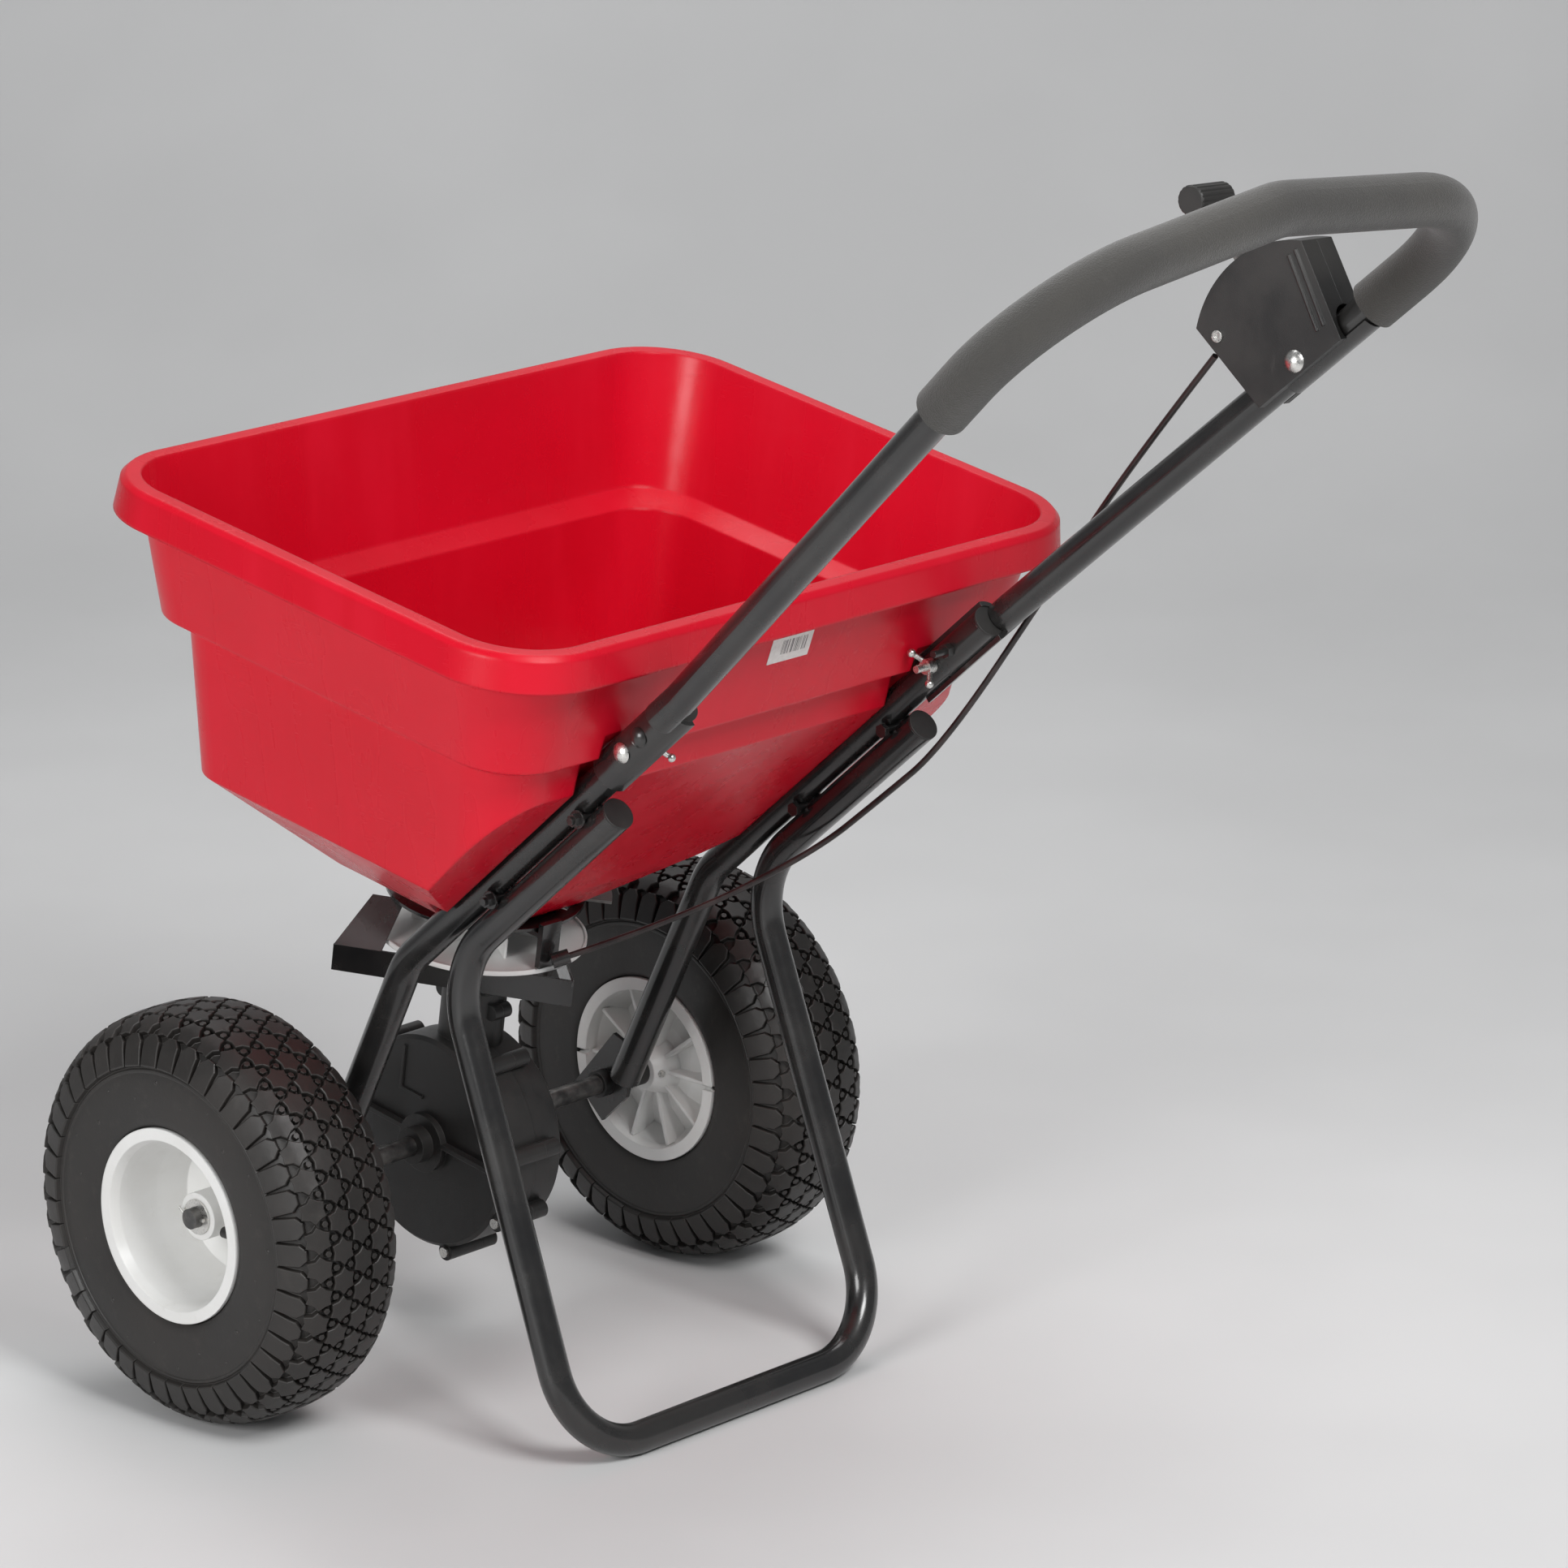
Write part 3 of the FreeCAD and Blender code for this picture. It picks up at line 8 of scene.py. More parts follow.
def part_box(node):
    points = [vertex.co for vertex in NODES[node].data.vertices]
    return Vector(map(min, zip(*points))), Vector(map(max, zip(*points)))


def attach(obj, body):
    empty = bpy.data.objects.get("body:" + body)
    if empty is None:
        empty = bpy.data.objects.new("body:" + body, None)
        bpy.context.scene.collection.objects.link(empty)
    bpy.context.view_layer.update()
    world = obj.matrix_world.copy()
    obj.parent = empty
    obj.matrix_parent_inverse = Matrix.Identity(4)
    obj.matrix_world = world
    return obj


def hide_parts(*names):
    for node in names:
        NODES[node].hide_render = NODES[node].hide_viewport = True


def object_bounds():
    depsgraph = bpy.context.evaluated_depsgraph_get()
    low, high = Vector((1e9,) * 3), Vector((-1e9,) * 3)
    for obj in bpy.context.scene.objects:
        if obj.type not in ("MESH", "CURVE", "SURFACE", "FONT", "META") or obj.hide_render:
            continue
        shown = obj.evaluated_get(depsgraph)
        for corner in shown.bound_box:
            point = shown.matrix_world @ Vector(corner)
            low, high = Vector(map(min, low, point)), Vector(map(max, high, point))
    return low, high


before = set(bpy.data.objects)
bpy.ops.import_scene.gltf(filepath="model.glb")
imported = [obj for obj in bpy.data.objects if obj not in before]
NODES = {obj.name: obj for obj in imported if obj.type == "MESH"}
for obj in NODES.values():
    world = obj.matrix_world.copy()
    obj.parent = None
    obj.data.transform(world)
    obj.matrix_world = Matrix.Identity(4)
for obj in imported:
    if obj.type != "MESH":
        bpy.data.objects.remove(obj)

CAD_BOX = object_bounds()


# ---------------------------------------------------------------- shader helpers

class Shader:
    """A material under construction, with small helpers for its nodes."""

    def __init__(self, name):
        self.material = bpy.data.materials.new(name)
        self.material.use_nodes = True
        self.tree = self.material.node_tree
        self.surface = self.tree.nodes["Principled BSDF"]
        self.place = self.add("ShaderNodeTexCoord").outputs["Object"]

    def add(self, kind, **values):
        node = self.tree.nodes.new(kind)
        for key, value in values.items():
            setattr(node, key, value)
        return node

    def link(self, source, target):
        self.tree.links.new(source, target)

    def put(self, socket, value):
        """Give a socket either a plain value or another node's output."""
        if isinstance(value, bpy.types.NodeSocket):
            self.link(value, socket)
        else:
            socket.default_value = value

    def noise(self, scale, detail=4.0, rough=0.55, stretch=None):
        source = self.place
        if stretch:
            mapping = self.add("ShaderNodeMapping")
            self.link(self.place, mapping.inputs["Vector"])
            mapping.inputs["Scale"].default_value = stretch
            source = mapping.outputs["Vector"]
        node = self.add("ShaderNodeTexNoise")
        self.link(source, node.inputs["Vector"])
        node.inputs["Scale"].default_value = scale
        node.inputs["Detail"].default_value = detail
        node.inputs["Roughness"].default_value = rough
        return node.outputs["Fac"]

    def cells(self, scale):
        node = self.add("ShaderNodeTexVoronoi", feature="F1")
        self.link(self.place, node.inputs["Vector"])
        node.inputs["Scale"].default_value = scale
        return node.outputs["Distance"]

    def ramp(self, factor, low, high, low_at=0.3, high_at=0.7):
        """Numbers or colours blended along a factor."""
        node = self.add("ShaderNodeMapRange", interpolation_type="SMOOTHSTEP")
        self.link(factor, node.inputs["Value"])
        node.inputs["From Min"].default_value = low_at
        node.inputs["From Max"].default_value = high_at
        node.inputs["To Min"].default_value = low
        node.inputs["To Max"].default_value = high
        return node.outputs["Result"]

    def mix(self, factor, first, second, blend="MIX"):
        node = self.add("ShaderNodeMix", data_type="RGBA", blend_type=blend)
        self.put(node.inputs["Factor"], factor)
        self.put(node.inputs["A"], first)
        self.put(node.inputs["B"], second)
        return node.outputs["Result"]

    def maths(self, operation, first, second):
        node = self.add("ShaderNodeMath", operation=operation)
        self.put(node.inputs[0], first)
        self.put(node.inputs[1], second)
        return node.outputs["Value"]

    def bump(self, height, strength, distance, under=None):
        node = self.add("ShaderNodeBump")
        self.link(height, node.inputs["Height"])
        node.inputs["Strength"].default_value = strength
        node.inputs["Distance"].default_value = distance
        if under is not None:
            self.link(under, node.inputs["Normal"])
        return node.outputs["Normal"]

    def edge(self, radius):
        """A normal rounded over sharp edges by this radius."""
        node = self.add("ShaderNodeBevel", samples=6)
        node.inputs["Radius"].default_value = radius
        return node.outputs["Normal"]

    def edge_wear_and_highlight(self, radius):
        """How far the rounded normal leaves the flat one: 0 on faces, 1 on edges."""
        geometry = self.add("ShaderNodeNewGeometry")
        dot = self.add("ShaderNodeVectorMath", operation="DOT_PRODUCT")
        self.link(self.edge(radius), dot.inputs[0])
        self.link(geometry.outputs["Normal"], dot.inputs[1])
        return self.ramp(dot.outputs["Value"], 1.0, 0.0, 0.80, 0.995)

    def finish(self, colour, roughness, normal=None, metallic=0.0, **extra):
        self.put(self.surface.inputs["Base Color"], colour)
        self.put(self.surface.inputs["Roughness"], roughness)
        self.put(self.surface.inputs["Metallic"], metallic)
        if normal is not None:
            self.link(normal, self.surface.inputs["Normal"])
        for key, value in extra.items():
            self.put(self.surface.inputs[key.replace("_", " ")], value)
        return self.material


def rgb(red, green, blue):
    return (red, green, blue, 1.0)


# ---------------------------------------------------------------- materials

def red_plastic():
    s = Shader("red_plastic")
    blotch = s.noise(5.0, 3.0)
    flow = s.noise(24.0, 3.0, 0.5, (1.0, 1.0, 0.18))
    base = s.mix(s.ramp(blotch, 0.0, 1.0), rgb(0.58, 0.003, 0.016), rgb(0.64, 0.004, 0.021))
    base = s.mix(s.ramp(flow, 0.0, 0.35, 0.5, 0.8), base, rgb(0.70, 0.008, 0.032))
    scuff = s.noise(90.0, 6.0, 0.7, (1.0, 0.12, 1.0))
    base = s.mix(s.ramp(scuff, 0.0, 0.05, 0.66, 0.80), base, rgb(0.74, 0.10, 0.12))
    rough = s.maths("ADD", s.ramp(flow, 0.24, 0.33), s.ramp(scuff, 0.0, 0.08, 0.55, 0.75))
    grain = s.bump(s.cells(2600.0), 0.12, 0.0002, s.edge(0.0035))
    wave = s.bump(s.noise(16.0, 2.0), 0.10, 0.004, grain)
    return s.finish(base, rough, wave, Specular_IOR_Level=0.30, Subsurface_Weight=0.03,
                    Subsurface_Radius=(0.012, 0.002, 0.002))


def black_paint():
    base = 0.010
    gloss = 0.20
    s = Shader("black_paint")
    dust = s.noise(14.0, 5.0, 0.65)
    peel = s.noise(420.0, 2.0)
    fine = s.noise(1500.0, 2.0)
    wear = s.edge_wear_and_highlight(0.0010)
    chip = s.maths("MULTIPLY", wear, s.ramp(s.noise(160.0, 5.0, 0.7), 0.0, 1.0, 0.52, 0.66))
    colour = s.mix(s.ramp(dust, 0.0, 1.0), rgb(base, base, base * 1.05),
                   rgb(base * 2.1, base * 2.0, base * 1.9))
    colour = s.mix(s.maths("MULTIPLY", chip, 0.5), colour, rgb(0.16, 0.155, 0.15))
    rough = s.maths("ADD", s.ramp(dust, gloss, gloss + 0.12), s.maths("MULTIPLY", chip, 0.2))
    normal = s.bump(peel, 0.10, 0.0006, s.edge(0.0006))
    normal = s.bump(fine, 0.05, 0.0002, normal)
    return s.finish(colour, rough, normal, Coat_Weight=0.45, Coat_Roughness=0.12)


def black_plastic(name="black_plastic", base=0.014):
    s = Shader(name)
    blotch = s.noise(20.0, 4.0)
    scuff = s.noise(130.0, 6.0, 0.72, (1.0, 1.0, 0.2))
    colour = s.mix(s.ramp(blotch, 0.0, 1.0), rgb(base, base, base),
                   rgb(base * 1.9, base * 1.8, base * 1.7))
    colour = s.mix(s.ramp(scuff, 0.0, 0.25, 0.62, 0.8), colour, rgb(0.09, 0.085, 0.08))
    colour = s.mix(s.maths("MULTIPLY", s.edge_wear_and_highlight(0.0009), 0.35), colour, rgb(0.07, 0.068, 0.065))
    rough = s.maths("ADD", s.ramp(blotch, 0.36, 0.50), s.ramp(scuff, 0.0, 0.14, 0.5, 0.8))
    normal = s.bump(s.cells(1900.0), 0.28, 0.0002, s.edge(0.0009))
    return s.finish(colour, rough, normal)


def foam():
    s = Shader("foam")
    blotch = s.noise(11.0, 4.0)
    pits_and_pit_shade = s.cells(850.0)
    fine = s.noise(2400.0, 4.0, 0.7)
    base = s.mix(s.ramp(blotch, 0.0, 1.0), rgb(0.030, 0.028, 0.025), rgb(0.046, 0.043, 0.038))
    # Darker towards the bottom of each pit: painted shade in the foam's hollows.
    base = s.mix(s.ramp(pits_and_pit_shade, 0.5, 0.0, 0.0, 0.35), base, rgb(0.018, 0.017, 0.016))
    scuff = s.ramp(s.noise(45.0, 6.0, 0.75), 0.0, 0.35, 0.58, 0.78)
    base = s.mix(scuff, base, rgb(0.075, 0.070, 0.063))
    normal = s.bump(pits_and_pit_shade, 0.55, 0.0006)
    normal = s.bump(fine, 0.35, 0.0004, normal)
    normal = s.bump(s.noise(60.0, 3.0), 0.25, 0.002, normal)
    return s.finish(base, s.ramp(blotch, 0.80, 0.93), normal, Sheen_Weight=0.25, Sheen_Roughness=0.6)


def rubber():
    s = Shader("tyre_rubber")
    blotch = s.noise(9.0, 5.0, 0.6)
    fine = s.noise(1300.0, 4.0, 0.7)
    base = s.mix(s.ramp(blotch, 0.0, 1.0), rgb(0.012, 0.011, 0.010), rgb(0.024, 0.021, 0.019))
    dusty = s.ramp(s.noise(70.0, 6.0, 0.75), 0.0, 0.4, 0.52, 0.75)
    base = s.mix(dusty, base, rgb(0.050, 0.044, 0.038))
    # Paler on the edges of the tread blocks: partly real wear, partly a painted highlight along the
    # groove edges.
    base = s.mix(s.maths("MULTIPLY", s.edge_wear_and_highlight(0.0010), 0.45), base, rgb(0.065, 0.060, 0.055))
    normal = s.bump(fine, 0.22, 0.0003, s.edge(0.0008))
    normal = s.bump(s.noise(220.0, 3.0), 0.15, 0.0008, normal)
    return s.finish(base, s.ramp(blotch, 0.36, 0.54), normal)


def white_plastic():
    bright = 0.80
    s = Shader("white_plastic")
    blotch = s.noise(13.0, 5.0, 0.6)
    grime = s.ramp(s.noise(48.0, 7.0, 0.75), 0.0, 0.30, 0.56, 0.80)
    base = s.mix(s.ramp(blotch, 0.0, 1.0), rgb(bright, bright, bright * 0.985),
                 rgb(bright * 0.93, bright * 0.925, bright * 0.90))
    base = s.mix(grime, base, rgb(bright * 0.62, bright * 0.60, bright * 0.55))
    normal = s.bump(s.cells(2200.0), 0.12, 0.0002, s.edge(0.0016))
    normal = s.bump(s.noise(30.0, 2.0), 0.08, 0.003, normal)
    return s.finish(base, s.ramp(blotch, 0.30, 0.44), normal, Subsurface_Weight=0.05,
                    Subsurface_Radius=(0.01, 0.01, 0.01))


def zinc():
    s = Shader("zinc")
    spangle = s.noise(700.0, 4.0, 0.6)
    brushed = s.noise(2600.0, 3.0, 0.6, (1.0, 0.08, 1.0))
    stain = s.ramp(s.noise(120.0, 5.0, 0.7), 0.0, 0.5, 0.55, 0.8)
    base = s.mix(s.ramp(spangle, 0.0, 1.0), rgb(0.62, 0.62, 0.60), rgb(0.78, 0.77, 0.74))
    base = s.mix(stain, base, rgb(0.42, 0.37, 0.28))
    normal = s.bump(brushed, 0.18, 0.0002, s.edge(0.0005))
    return s.finish(base, s.ramp(spangle, 0.24, 0.42), normal, 1.0)


def dark_steel():
    s = Shader("dark_steel")
    blotch = s.noise(60.0, 5.0, 0.65)
    turned = s.noise(1800.0, 3.0, 0.6, (1.0, 0.05, 0.05))
    base = s.mix(s.ramp(blotch, 0.0, 1.0), rgb(0.10, 0.10, 0.10), rgb(0.22, 0.21, 0.20))
    base = s.mix(s.ramp(s.noise(200.0, 6.0, 0.75), 0.0, 0.4, 0.6, 0.8), base, rgb(0.30, 0.22, 0.15))
    normal = s.bump(turned, 0.2, 0.0002, s.edge(0.0006))
    return s.finish(base, s.ramp(blotch, 0.28, 0.5), normal, 0.9)


def sticker():
    """Pale paper with plain grey bars on it and no letters."""
    s = Shader("sticker")
    split = s.add("ShaderNodeSeparateXYZ")
    s.link(s.place, split.inputs["Vector"])
    low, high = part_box("hopper_label")
    bars = s.add("ShaderNodeTexNoise", noise_dimensions="1D")
    s.link(split.outputs["X"], bars.inputs["W"])
    bars.inputs["Scale"].default_value = 900.0
    dark = s.ramp(bars.outputs["Fac"], 0.0, 1.0, 0.50, 0.52)
    across_left = s.ramp(split.outputs["X"], 0.0, 1.0, low.x + 0.005, low.x + 0.0055)
    across_right = s.ramp(split.outputs["X"], 1.0, 0.0, high.x - 0.012, high.x - 0.0115)
    foot = s.ramp(split.outputs["Z"], 0.0, 1.0, low.z + 0.006, low.z + 0.0065)
    head = s.ramp(split.outputs["Z"], 1.0, 0.0, high.z - 0.005, high.z - 0.0045)
    window = s.maths("MULTIPLY", s.maths("MULTIPLY", across_left, across_right),
                     s.maths("MULTIPLY", foot, head))
    paper = s.mix(s.ramp(s.noise(300.0, 4.0), 0.0, 1.0), rgb(0.72, 0.68, 0.66), rgb(0.80, 0.77, 0.75))
    base = s.mix(s.maths("MULTIPLY", window, dark), paper, rgb(0.10, 0.09, 0.09))
    normal = s.bump(s.noise(2500.0, 3.0), 0.2, 0.0001)
    return s.finish(base, s.ramp(s.noise(90.0), 0.35, 0.5), normal)


def cable_skin():
    s = Shader("cable_skin")
    blotch = s.noise(40.0, 4.0)
    base = s.mix(s.ramp(blotch, 0.0, 1.0), rgb(0.012, 0.009, 0.009), rgb(0.035, 0.024, 0.023))
    normal = s.bump(s.noise(900.0, 3.0), 0.15, 0.0003)
    return s.finish(base, s.ramp(blotch, 0.30, 0.45), normal)


PAINT = black_paint()
PLASTIC = black_plastic()
CASE = black_plastic("case_plastic", 0.013)
WHITE = white_plastic()
ZINC = zinc()
STEEL = dark_steel()
RUBBER = rubber()
CABLE = cable_skin()

BY_NODE = {
    "hopper": red_plastic(),
    "hopper_label": sticker(),
    "foam_grip": foam(),
    "control_cable": CABLE,
}
for group, material in (
    (("main_tube_left", "main_tube_right", "stand_tube", "handle_tube", "axle_plate_left",
      "axle_plate_right", "control_clamp", "cable_bracket", "impeller_guard", "gate_cover",
      "frame_bolts", "frame_washers", "frame_nuts", "handle_nuts", "handle_bolts_upper"), PAINT),
    (("tube_caps", "control_housing_inner", "control_housing_outer", "lever_knob",
      "stop_thumb_nut", "agitator", "left_valve_stem", "right_valve_stem", "axle_bush_left",
      "axle_bush_right", "neck_bush", "throat_bush", "axle_spacer_left",
      "axle_spacer_right", "pinion", "drive_gear"), PLASTIC),
    (("gearbox_left", "gearbox_right"), CASE),
    (("left_rim", "right_rim", "impeller"), WHITE),
    (("handle_bolts", "wing_nuts", "control_bolt", "control_nut", "control_screw",
      "gate_screws", "gearbox_screws", "axle_end_pins", "axle_washers", "drive_pin",
      "gear_pin", "impeller_pin"), ZINC),
    (("axle", "impeller_shaft", "control_lever", "rate_stop", "shut_off_gate"), STEEL),
    (("left_tyre", "right_tyre"), RUBBER),
):
    for node in group:
        BY_NODE[node] = material


# ---------------------------------------------------------------- camera

AZIMUTH = math.radians(133.46)
ELEVATION = math.radians(16.01)
ROLL = math.radians(-0.18)
CAMERA_DISTANCE = 5.57427
SENSOR_WIDTH = 36.0
LENS = 154.22
# The point the camera looks at, in X and Z; in Y it is the axle's middle.
AIM_X = -0.3776
AIM_Z = 0.37308


def middle_of(node):
    low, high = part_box(node)
    return (low + high) / 2


def make_camera():
    camera = bpy.data.cameras.new("camera")
    camera.sensor_width = SENSOR_WIDTH
    camera.lens = LENS
    item = bpy.data.objects.new("camera", camera)
    bpy.context.scene.collection.objects.link(item)
    back = Vector((math.sin(AZIMUTH) * math.cos(ELEVATION),
                   -math.cos(AZIMUTH) * math.cos(ELEVATION), math.sin(ELEVATION)))
    target = Vector((AIM_X, middle_of("axle").y, AIM_Z))
    item.rotation_mode = "QUATERNION"
    item.location = target + back * CAMERA_DISTANCE
    turn = (-back).to_track_quat("-Z", "Y")
    item.rotation_quaternion = turn @ Matrix.Rotation(ROLL, 3, "Z").to_quaternion()
    camera.clip_start, camera.clip_end = 0.1, 60.0
    bpy.context.scene.camera = item


make_camera()


# ---------------------------------------------------------------- control cable

CABLE_RADIUS = 0.0025
# The corners of the cable's route about the middle of the axle, as in the part's source.
CABLE_ROUTE = [
    (0.0100, 0.1202, 0.1699), (-0.0700, 0.1760, 0.1960), (-0.1620, 0.2361, 0.2439),
    (-0.1640, 0.3041, 0.2997), (-0.1680, 0.3671, 0.3538), (-0.2120, 0.4470, 0.4991),
    (-0.2080, 0.5210, 0.5960), (-0.2027, 0.6025, 0.6887),
]


def make_cable():
    axle = middle_of("axle")
    curve = bpy.data.curves.new("control_cable_line", "CURVE")
    curve.dimensions = "3D"
    curve.bevel_depth = CABLE_RADIUS
    curve.bevel_resolution = 5
    curve.resolution_u = 24
    curve.use_fill_caps = True
    line = curve.splines.new("NURBS")
    line.points.add(len(CABLE_ROUTE) - 1)
    for point, (x, y, z) in zip(line.points, CABLE_ROUTE):
        point.co = (x, axle.y + y, axle.z + z, 1.0)
    line.order_u = 3
    line.use_endpoint_u = True
    line.use_smooth = True
    curve.materials.append(CABLE)
    cable = bpy.data.objects.new("cable_sleeve", curve)
    bpy.context.scene.collection.objects.link(cable)
    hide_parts("control_cable")
    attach(cable, "frame")


make_cable()


# ---------------------------------------------------------------- meshes

def dress(item, material, angle=32.0):
    """One material and smooth shading that keeps real edges."""
    item.data.materials.clear()
    item.data.materials.append(material)
    for face in item.data.polygons:
        face.material_index = 0
    item.data.shade_smooth()
    item.data.set_sharp_from_angle(angle=math.radians(angle))


for node, item in NODES.items():
    dress(item, BY_NODE[node])


def mesh_piece(name, points, faces, material, angle=32.0):
    mesh = bpy.data.meshes.new(name)
    mesh.from_pydata(points, [], faces)
    mesh.validate()
    shell = bmesh.new()
    shell.from_mesh(mesh)
    bmesh.ops.recalc_face_normals(shell, faces=shell.faces)
    shell.to_mesh(mesh)
    shell.free()
    item = bpy.data.objects.new(name, mesh)
    bpy.context.scene.collection.objects.link(item)
    dress(item, material, angle)
    return item


# ---------------------------------------------------------------- tyres

LUGS = 43
ROW_GAP = 0.0182
STAR_HEIGHT = 0.0055
ISLAND_HEIGHT = 0.0046
ISLAND_RADIUS = 0.0027
SHOULDER_HEIGHT = 0.0044
TREAD_RADIUS = 0.16
NUBS = 24
# Arc distances from the crown's middle to four places along a shoulder lug.
SHOULDER_TIP = 0.0445
SHOULDER_NECK = 0.0495
SHOULDER_WAIST = 0.0560
SHOULDER_FOOT = 0.0690
SECTION = [
    # distance from the middle plane, radius; from the bead over the shoulder to the crown
    (0.0455, 0.0711), (0.0463, 0.0752), (0.0466, 0.0781), (0.0488, 0.0790), (0.0500, 0.0812),
    (0.0505, 0.0860), (0.0514, 0.0940), (0.0518, 0.1040), (0.0519, 0.1130), (0.0514, 0.1195),
    (0.0512, 0.1212), (0.0518, 0.1222), (0.0518, 0.1238), (0.0508, 0.1250), (0.0498, 0.1290),
    (0.0484, 0.1340), (0.0463, 0.1400), (0.0435, 0.1460), (0.0395, 0.1515), (0.0330, 0.1557),
    (0.0250, 0.1582), (0.0140, 0.1594), (0.0, 0.1597),
]


def section_at(distance):
    """Point and outward normal of the crown at an arc length from its middle."""
    points = [Vector((x, r, 0)) for x, r in reversed(SECTION)]
    left = abs(distance)
    for first, second in zip(points, points[1:]):
        step = (second - first).length
        if left <= step:
            break
        left -= step
    spot = first + (second - first) * (left / step)
    run = (second - first).normalized()
    normal = Vector((-run.y, run.x, 0))
    side = 1.0 if distance >= 0 else -1.0
    return Vector((spot.x * side, spot.y, 0)), Vector((normal.x * side, normal.y, 0))


def on_tyre(distance, angle, height):
    """A point standing off the carcass, in the wheel's own frame (X is the axle)."""
    spot, normal = section_at(distance)
    spot = spot + normal * height
    return (spot.x, spot.y * math.cos(angle), spot.y * math.sin(angle))


def carcass(steps=172):
    profile = SECTION + [(-x, r) for x, r in reversed(SECTION[:-1])]
    count = len(profile)
    points = []
    for step in range(steps):
        angle = 2 * math.pi * step / steps
        points += [(x, r * math.cos(angle), r * math.sin(angle)) for x, r in profile]
    faces = []
    for step in range(steps):
        here, there = step * count, ((step + 1) % steps) * count
        for index in range(count - 1):
            faces.append((here + index, here + index + 1, there + index + 1, there + index))
        faces.append((here + count - 1, here, there, there + count - 1))
    return points, faces


def add_block(points, faces, outline, height, root=-0.001, chamfer=0.0007):
    """A raised block: its outline is a list of (arc distance, angle)."""
    middle_s = sum(p[0] for p in outline) / len(outline)
    middle_a = sum(p[1] for p in outline) / len(outline)
    start = len(points)
    count = len(outline)
    for level, shrink in ((root, 1.06), (height - chamfer, 1.0), (height, 0.93)):
        for distance, angle in outline:
            d = middle_s + (distance - middle_s) * shrink
            a = middle_a + (angle - middle_a) * shrink
            points.append(on_tyre(d, a, level))
    points.append(on_tyre(middle_s, middle_a, height))
    for ring in (0, 1):
        for index in range(count):
            following = (index + 1) % count
            a, b = start + ring * count + index, start + ring * count + following
            faces.append((a, b, b + count, a + count))
    top = start + 2 * count
    for index in range(count):
        faces.append((top + index, top + (index + 1) % count, start + 3 * count))


def star(centre_s, centre_a, pitch, row_gap):
    """A six-pointed block outline; neighbours interlock with narrow gaps."""
    outline = []
    for index in range(12):
        turn = math.radians(30 * index)
        reach = 1.0 if index % 2 == 0 else 0.74
        s = centre_s + row_gap * 0.550 * reach * math.sin(turn)
        a = centre_a + pitch * 0.478 * reach * math.cos(turn)
        outline.append((s, a))
    return outline


def island(centre_s, centre_a, radius):
    """A small six-sided block that fills the space between three stars."""
    turns = [math.radians(60 * index + 30) for index in range(6)]
    return [(centre_s + radius * math.sin(t), centre_a + radius / TREAD_RADIUS * math.cos(t))
            for t in turns]


def add_nub(points, faces, radius, angle, size, height):
    """A low round nub on the outer sidewall, like the mark of a mould's vent."""
    start = len(points)
    for share, lift in ((1.0, -0.0004), (0.6, height)):
        for index in range(8):
            turn = math.radians(45 * index)
            points.append((sidewall_x(radius) + lift,
                           *around(radius + size * share * math.cos(turn),
                                   angle + size * share * math.sin(turn) / radius)))
    for index in range(8):
        after = (index + 1) % 8
        faces.append((start + index, start + after, start + 8 + after, start + 8 + index))
    faces.append(tuple(start + 8 + index for index in range(8)))


def around(radius, angle):
    return radius * math.cos(angle), radius * math.sin(angle)


def sidewall_x(radius):
    """How far out the sidewall stands at a radius."""
    for (x0, r0), (x1, r1) in zip(SECTION, SECTION[1:]):
        if r0 <= radius <= r1:
            return x0 + (x1 - x0) * (radius - r0) / (r1 - r0)
    return SECTION[0][0]


def shoulder_lug(side, centre, half):
    """A lug that widens from its tip on the crown to its foot on the sidewall."""
    widths = ((SHOULDER_TIP, 0.34), (SHOULDER_NECK, 0.80), (SHOULDER_WAIST, 0.84),
              (SHOULDER_FOOT, 0.93))
    outline = [(side * distance, centre - half * share) for distance, share in widths]
    outline += [(side * distance, centre + half * share) for distance, share in reversed(widths)]
    if side < 0:
        outline.reverse()
    return outline


def tread():
    points, faces = carcass()
    pitch = 2 * math.pi / LUGS
    for row in range(-2, 3):
        for lug in range(LUGS):
            centre = pitch * (lug + (0.5 if row % 2 else 0.0))
            add_block(points, faces, star(row * ROW_GAP, centre, pitch, ROW_GAP), STAR_HEIGHT)
    for row in range(-2, 3):
        for lug in range(LUGS):
            centre = pitch * (lug + (0.0 if row % 2 else 0.5))
            for way in (-1, 1):
                spot = row * ROW_GAP + way * 0.34 * ROW_GAP
                if abs(spot) < 2.1 * ROW_GAP:
                    add_block(points, faces, island(spot, centre, ISLAND_RADIUS), ISLAND_HEIGHT)
    for side in (1, -1):
        for lug in range(LUGS):
            outline = shoulder_lug(side, pitch * (lug + 0.5), pitch * 0.5)
            add_block(points, faces, outline, SHOULDER_HEIGHT, root=-0.0008)
    for index in range(NUBS):
        radius = 0.1015 if index % 2 else 0.1145
        size = 0.0011 if index % 3 else 0.0019
        add_nub(points, faces, radius, math.radians(15 * index + 4), size, 0.0005)
    return points, faces


def make_tyre(side, node):
    centre = middle_of(node)
    points, faces = tread()
    placed = [(p[0] * side + centre.x, p[1] + centre.y, p[2] + centre.z) for p in points]
    tyre = mesh_piece(node + "_tread", placed, faces, RUBBER, 28.0)
    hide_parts(node)
    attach(tyre, "left_wheel" if side > 0 else "axle_set")


make_tyre(1, "left_tyre")
make_tyre(-1, "right_tyre")


# ---------------------------------------------------------------- stage and lights

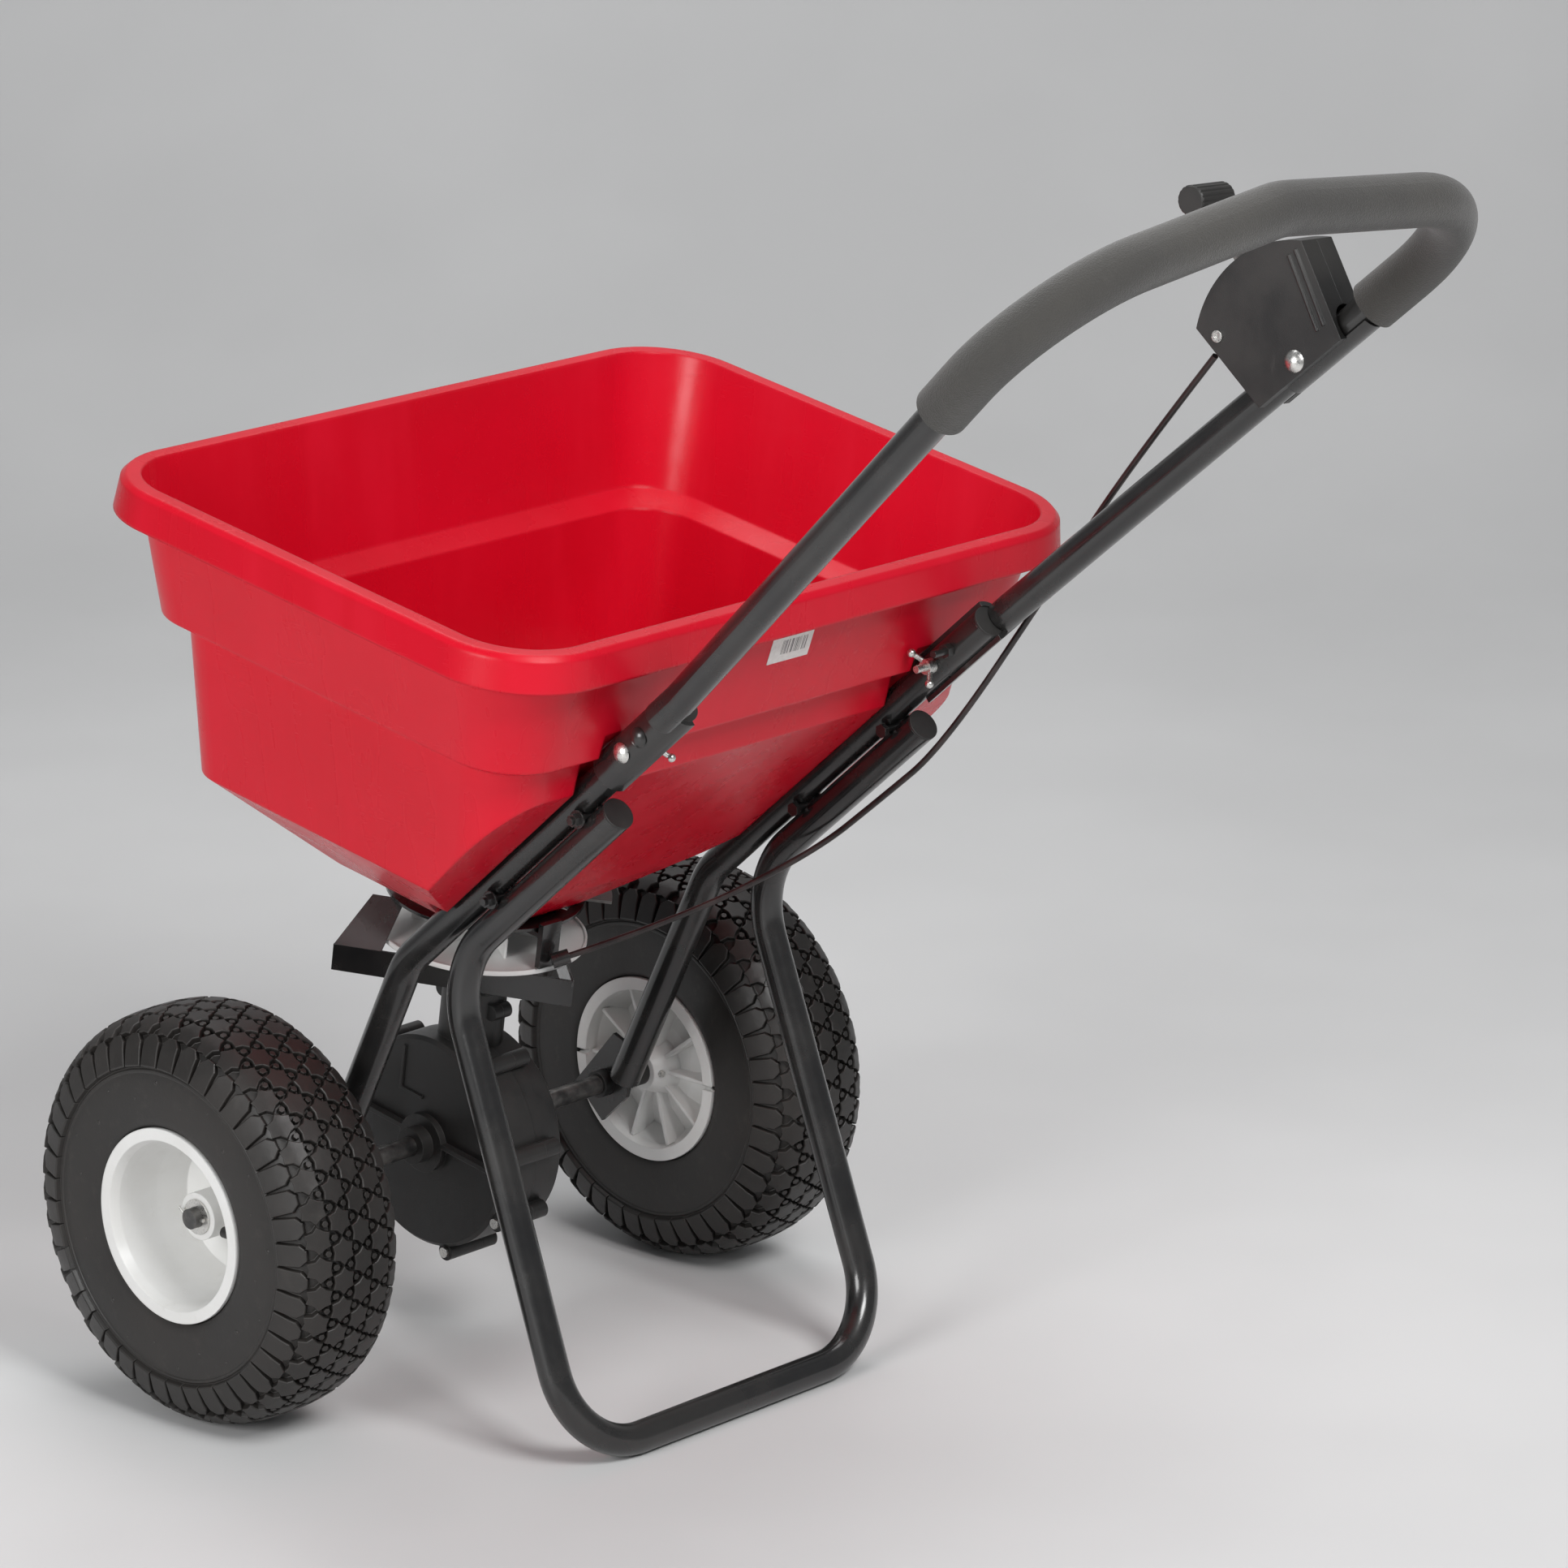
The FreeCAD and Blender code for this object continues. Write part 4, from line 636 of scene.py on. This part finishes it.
def pale_floor():
    s = Shader("pale_floor")
    base = s.mix(s.ramp(s.noise(1.5, 3.0), 0.0, 1.0), rgb(0.64, 0.64, 0.64), rgb(0.68, 0.68, 0.68))
    return s.finish(base, s.ramp(s.noise(6.0), 0.55, 0.65))


FLOOR_REACH = 12.0
FLOOR_DEPTH = 2.6
COVE_RADIUS = 1.5


def make_stage():
    """A floor that curves up into a backdrop on the far side from the camera."""
    low, high = CAD_BOX
    middle = (low + high) / 2
    away = Vector((-math.sin(AZIMUTH), math.cos(AZIMUTH), 0))
    side = Vector((-away.y, away.x, 0))
    profile = [(-FLOOR_REACH, 0.0), (FLOOR_DEPTH, 0.0)]
    for step in range(1, 11):
        turn = math.radians(9 * step)
        profile.append((FLOOR_DEPTH + COVE_RADIUS * math.sin(turn),
                        COVE_RADIUS - COVE_RADIUS * math.cos(turn)))
    profile.append((FLOOR_DEPTH + COVE_RADIUS, FLOOR_REACH * 0.6))
    points, faces = [], []
    for way in (-1, 1):
        for along, up in profile:
            spot = middle + away * along + side * (FLOOR_REACH * way)
            points.append((spot.x, spot.y, up))
    count = len(profile)
    for index in range(count - 1):
        faces.append((index, index + 1, count + index + 1, count + index))
    mesh_piece("floor", points, faces, pale_floor(), 60.0)


def area_light(name, place, target, size, power):
    light = bpy.data.lights.new(name, "AREA")
    light.shape = "RECTANGLE"
    light.size = size
    light.size_y = size
    light.energy = power
    item = bpy.data.objects.new(name, light)
    bpy.context.scene.collection.objects.link(item)
    item.location = place
    item.rotation_mode = "QUATERNION"
    item.rotation_quaternion = (Vector(target) - Vector(place)).to_track_quat("-Z", "Y")


def make_lights():
    area_light("key", (0.6, 2.8, 3.2), (0, 0, 0.5), 1.4, 110)
    area_light("fill", (3.4, 0.3, 1.5), (0, 0, 0.4), 1.4, 66)
    area_light("top", (-0.8, -1.0, 3.4), (0, 0, 0.3), 2.2, 44)
    world = bpy.data.worlds.new("studio")
    world.use_nodes = True
    world.node_tree.nodes["Background"].inputs["Color"].default_value = rgb(0.95, 0.97, 1.0)
    world.node_tree.nodes["Background"].inputs["Strength"].default_value = 0.23
    bpy.context.scene.world = world
    bpy.context.scene.view_settings.view_transform = "Standard"


make_stage()
make_lights()
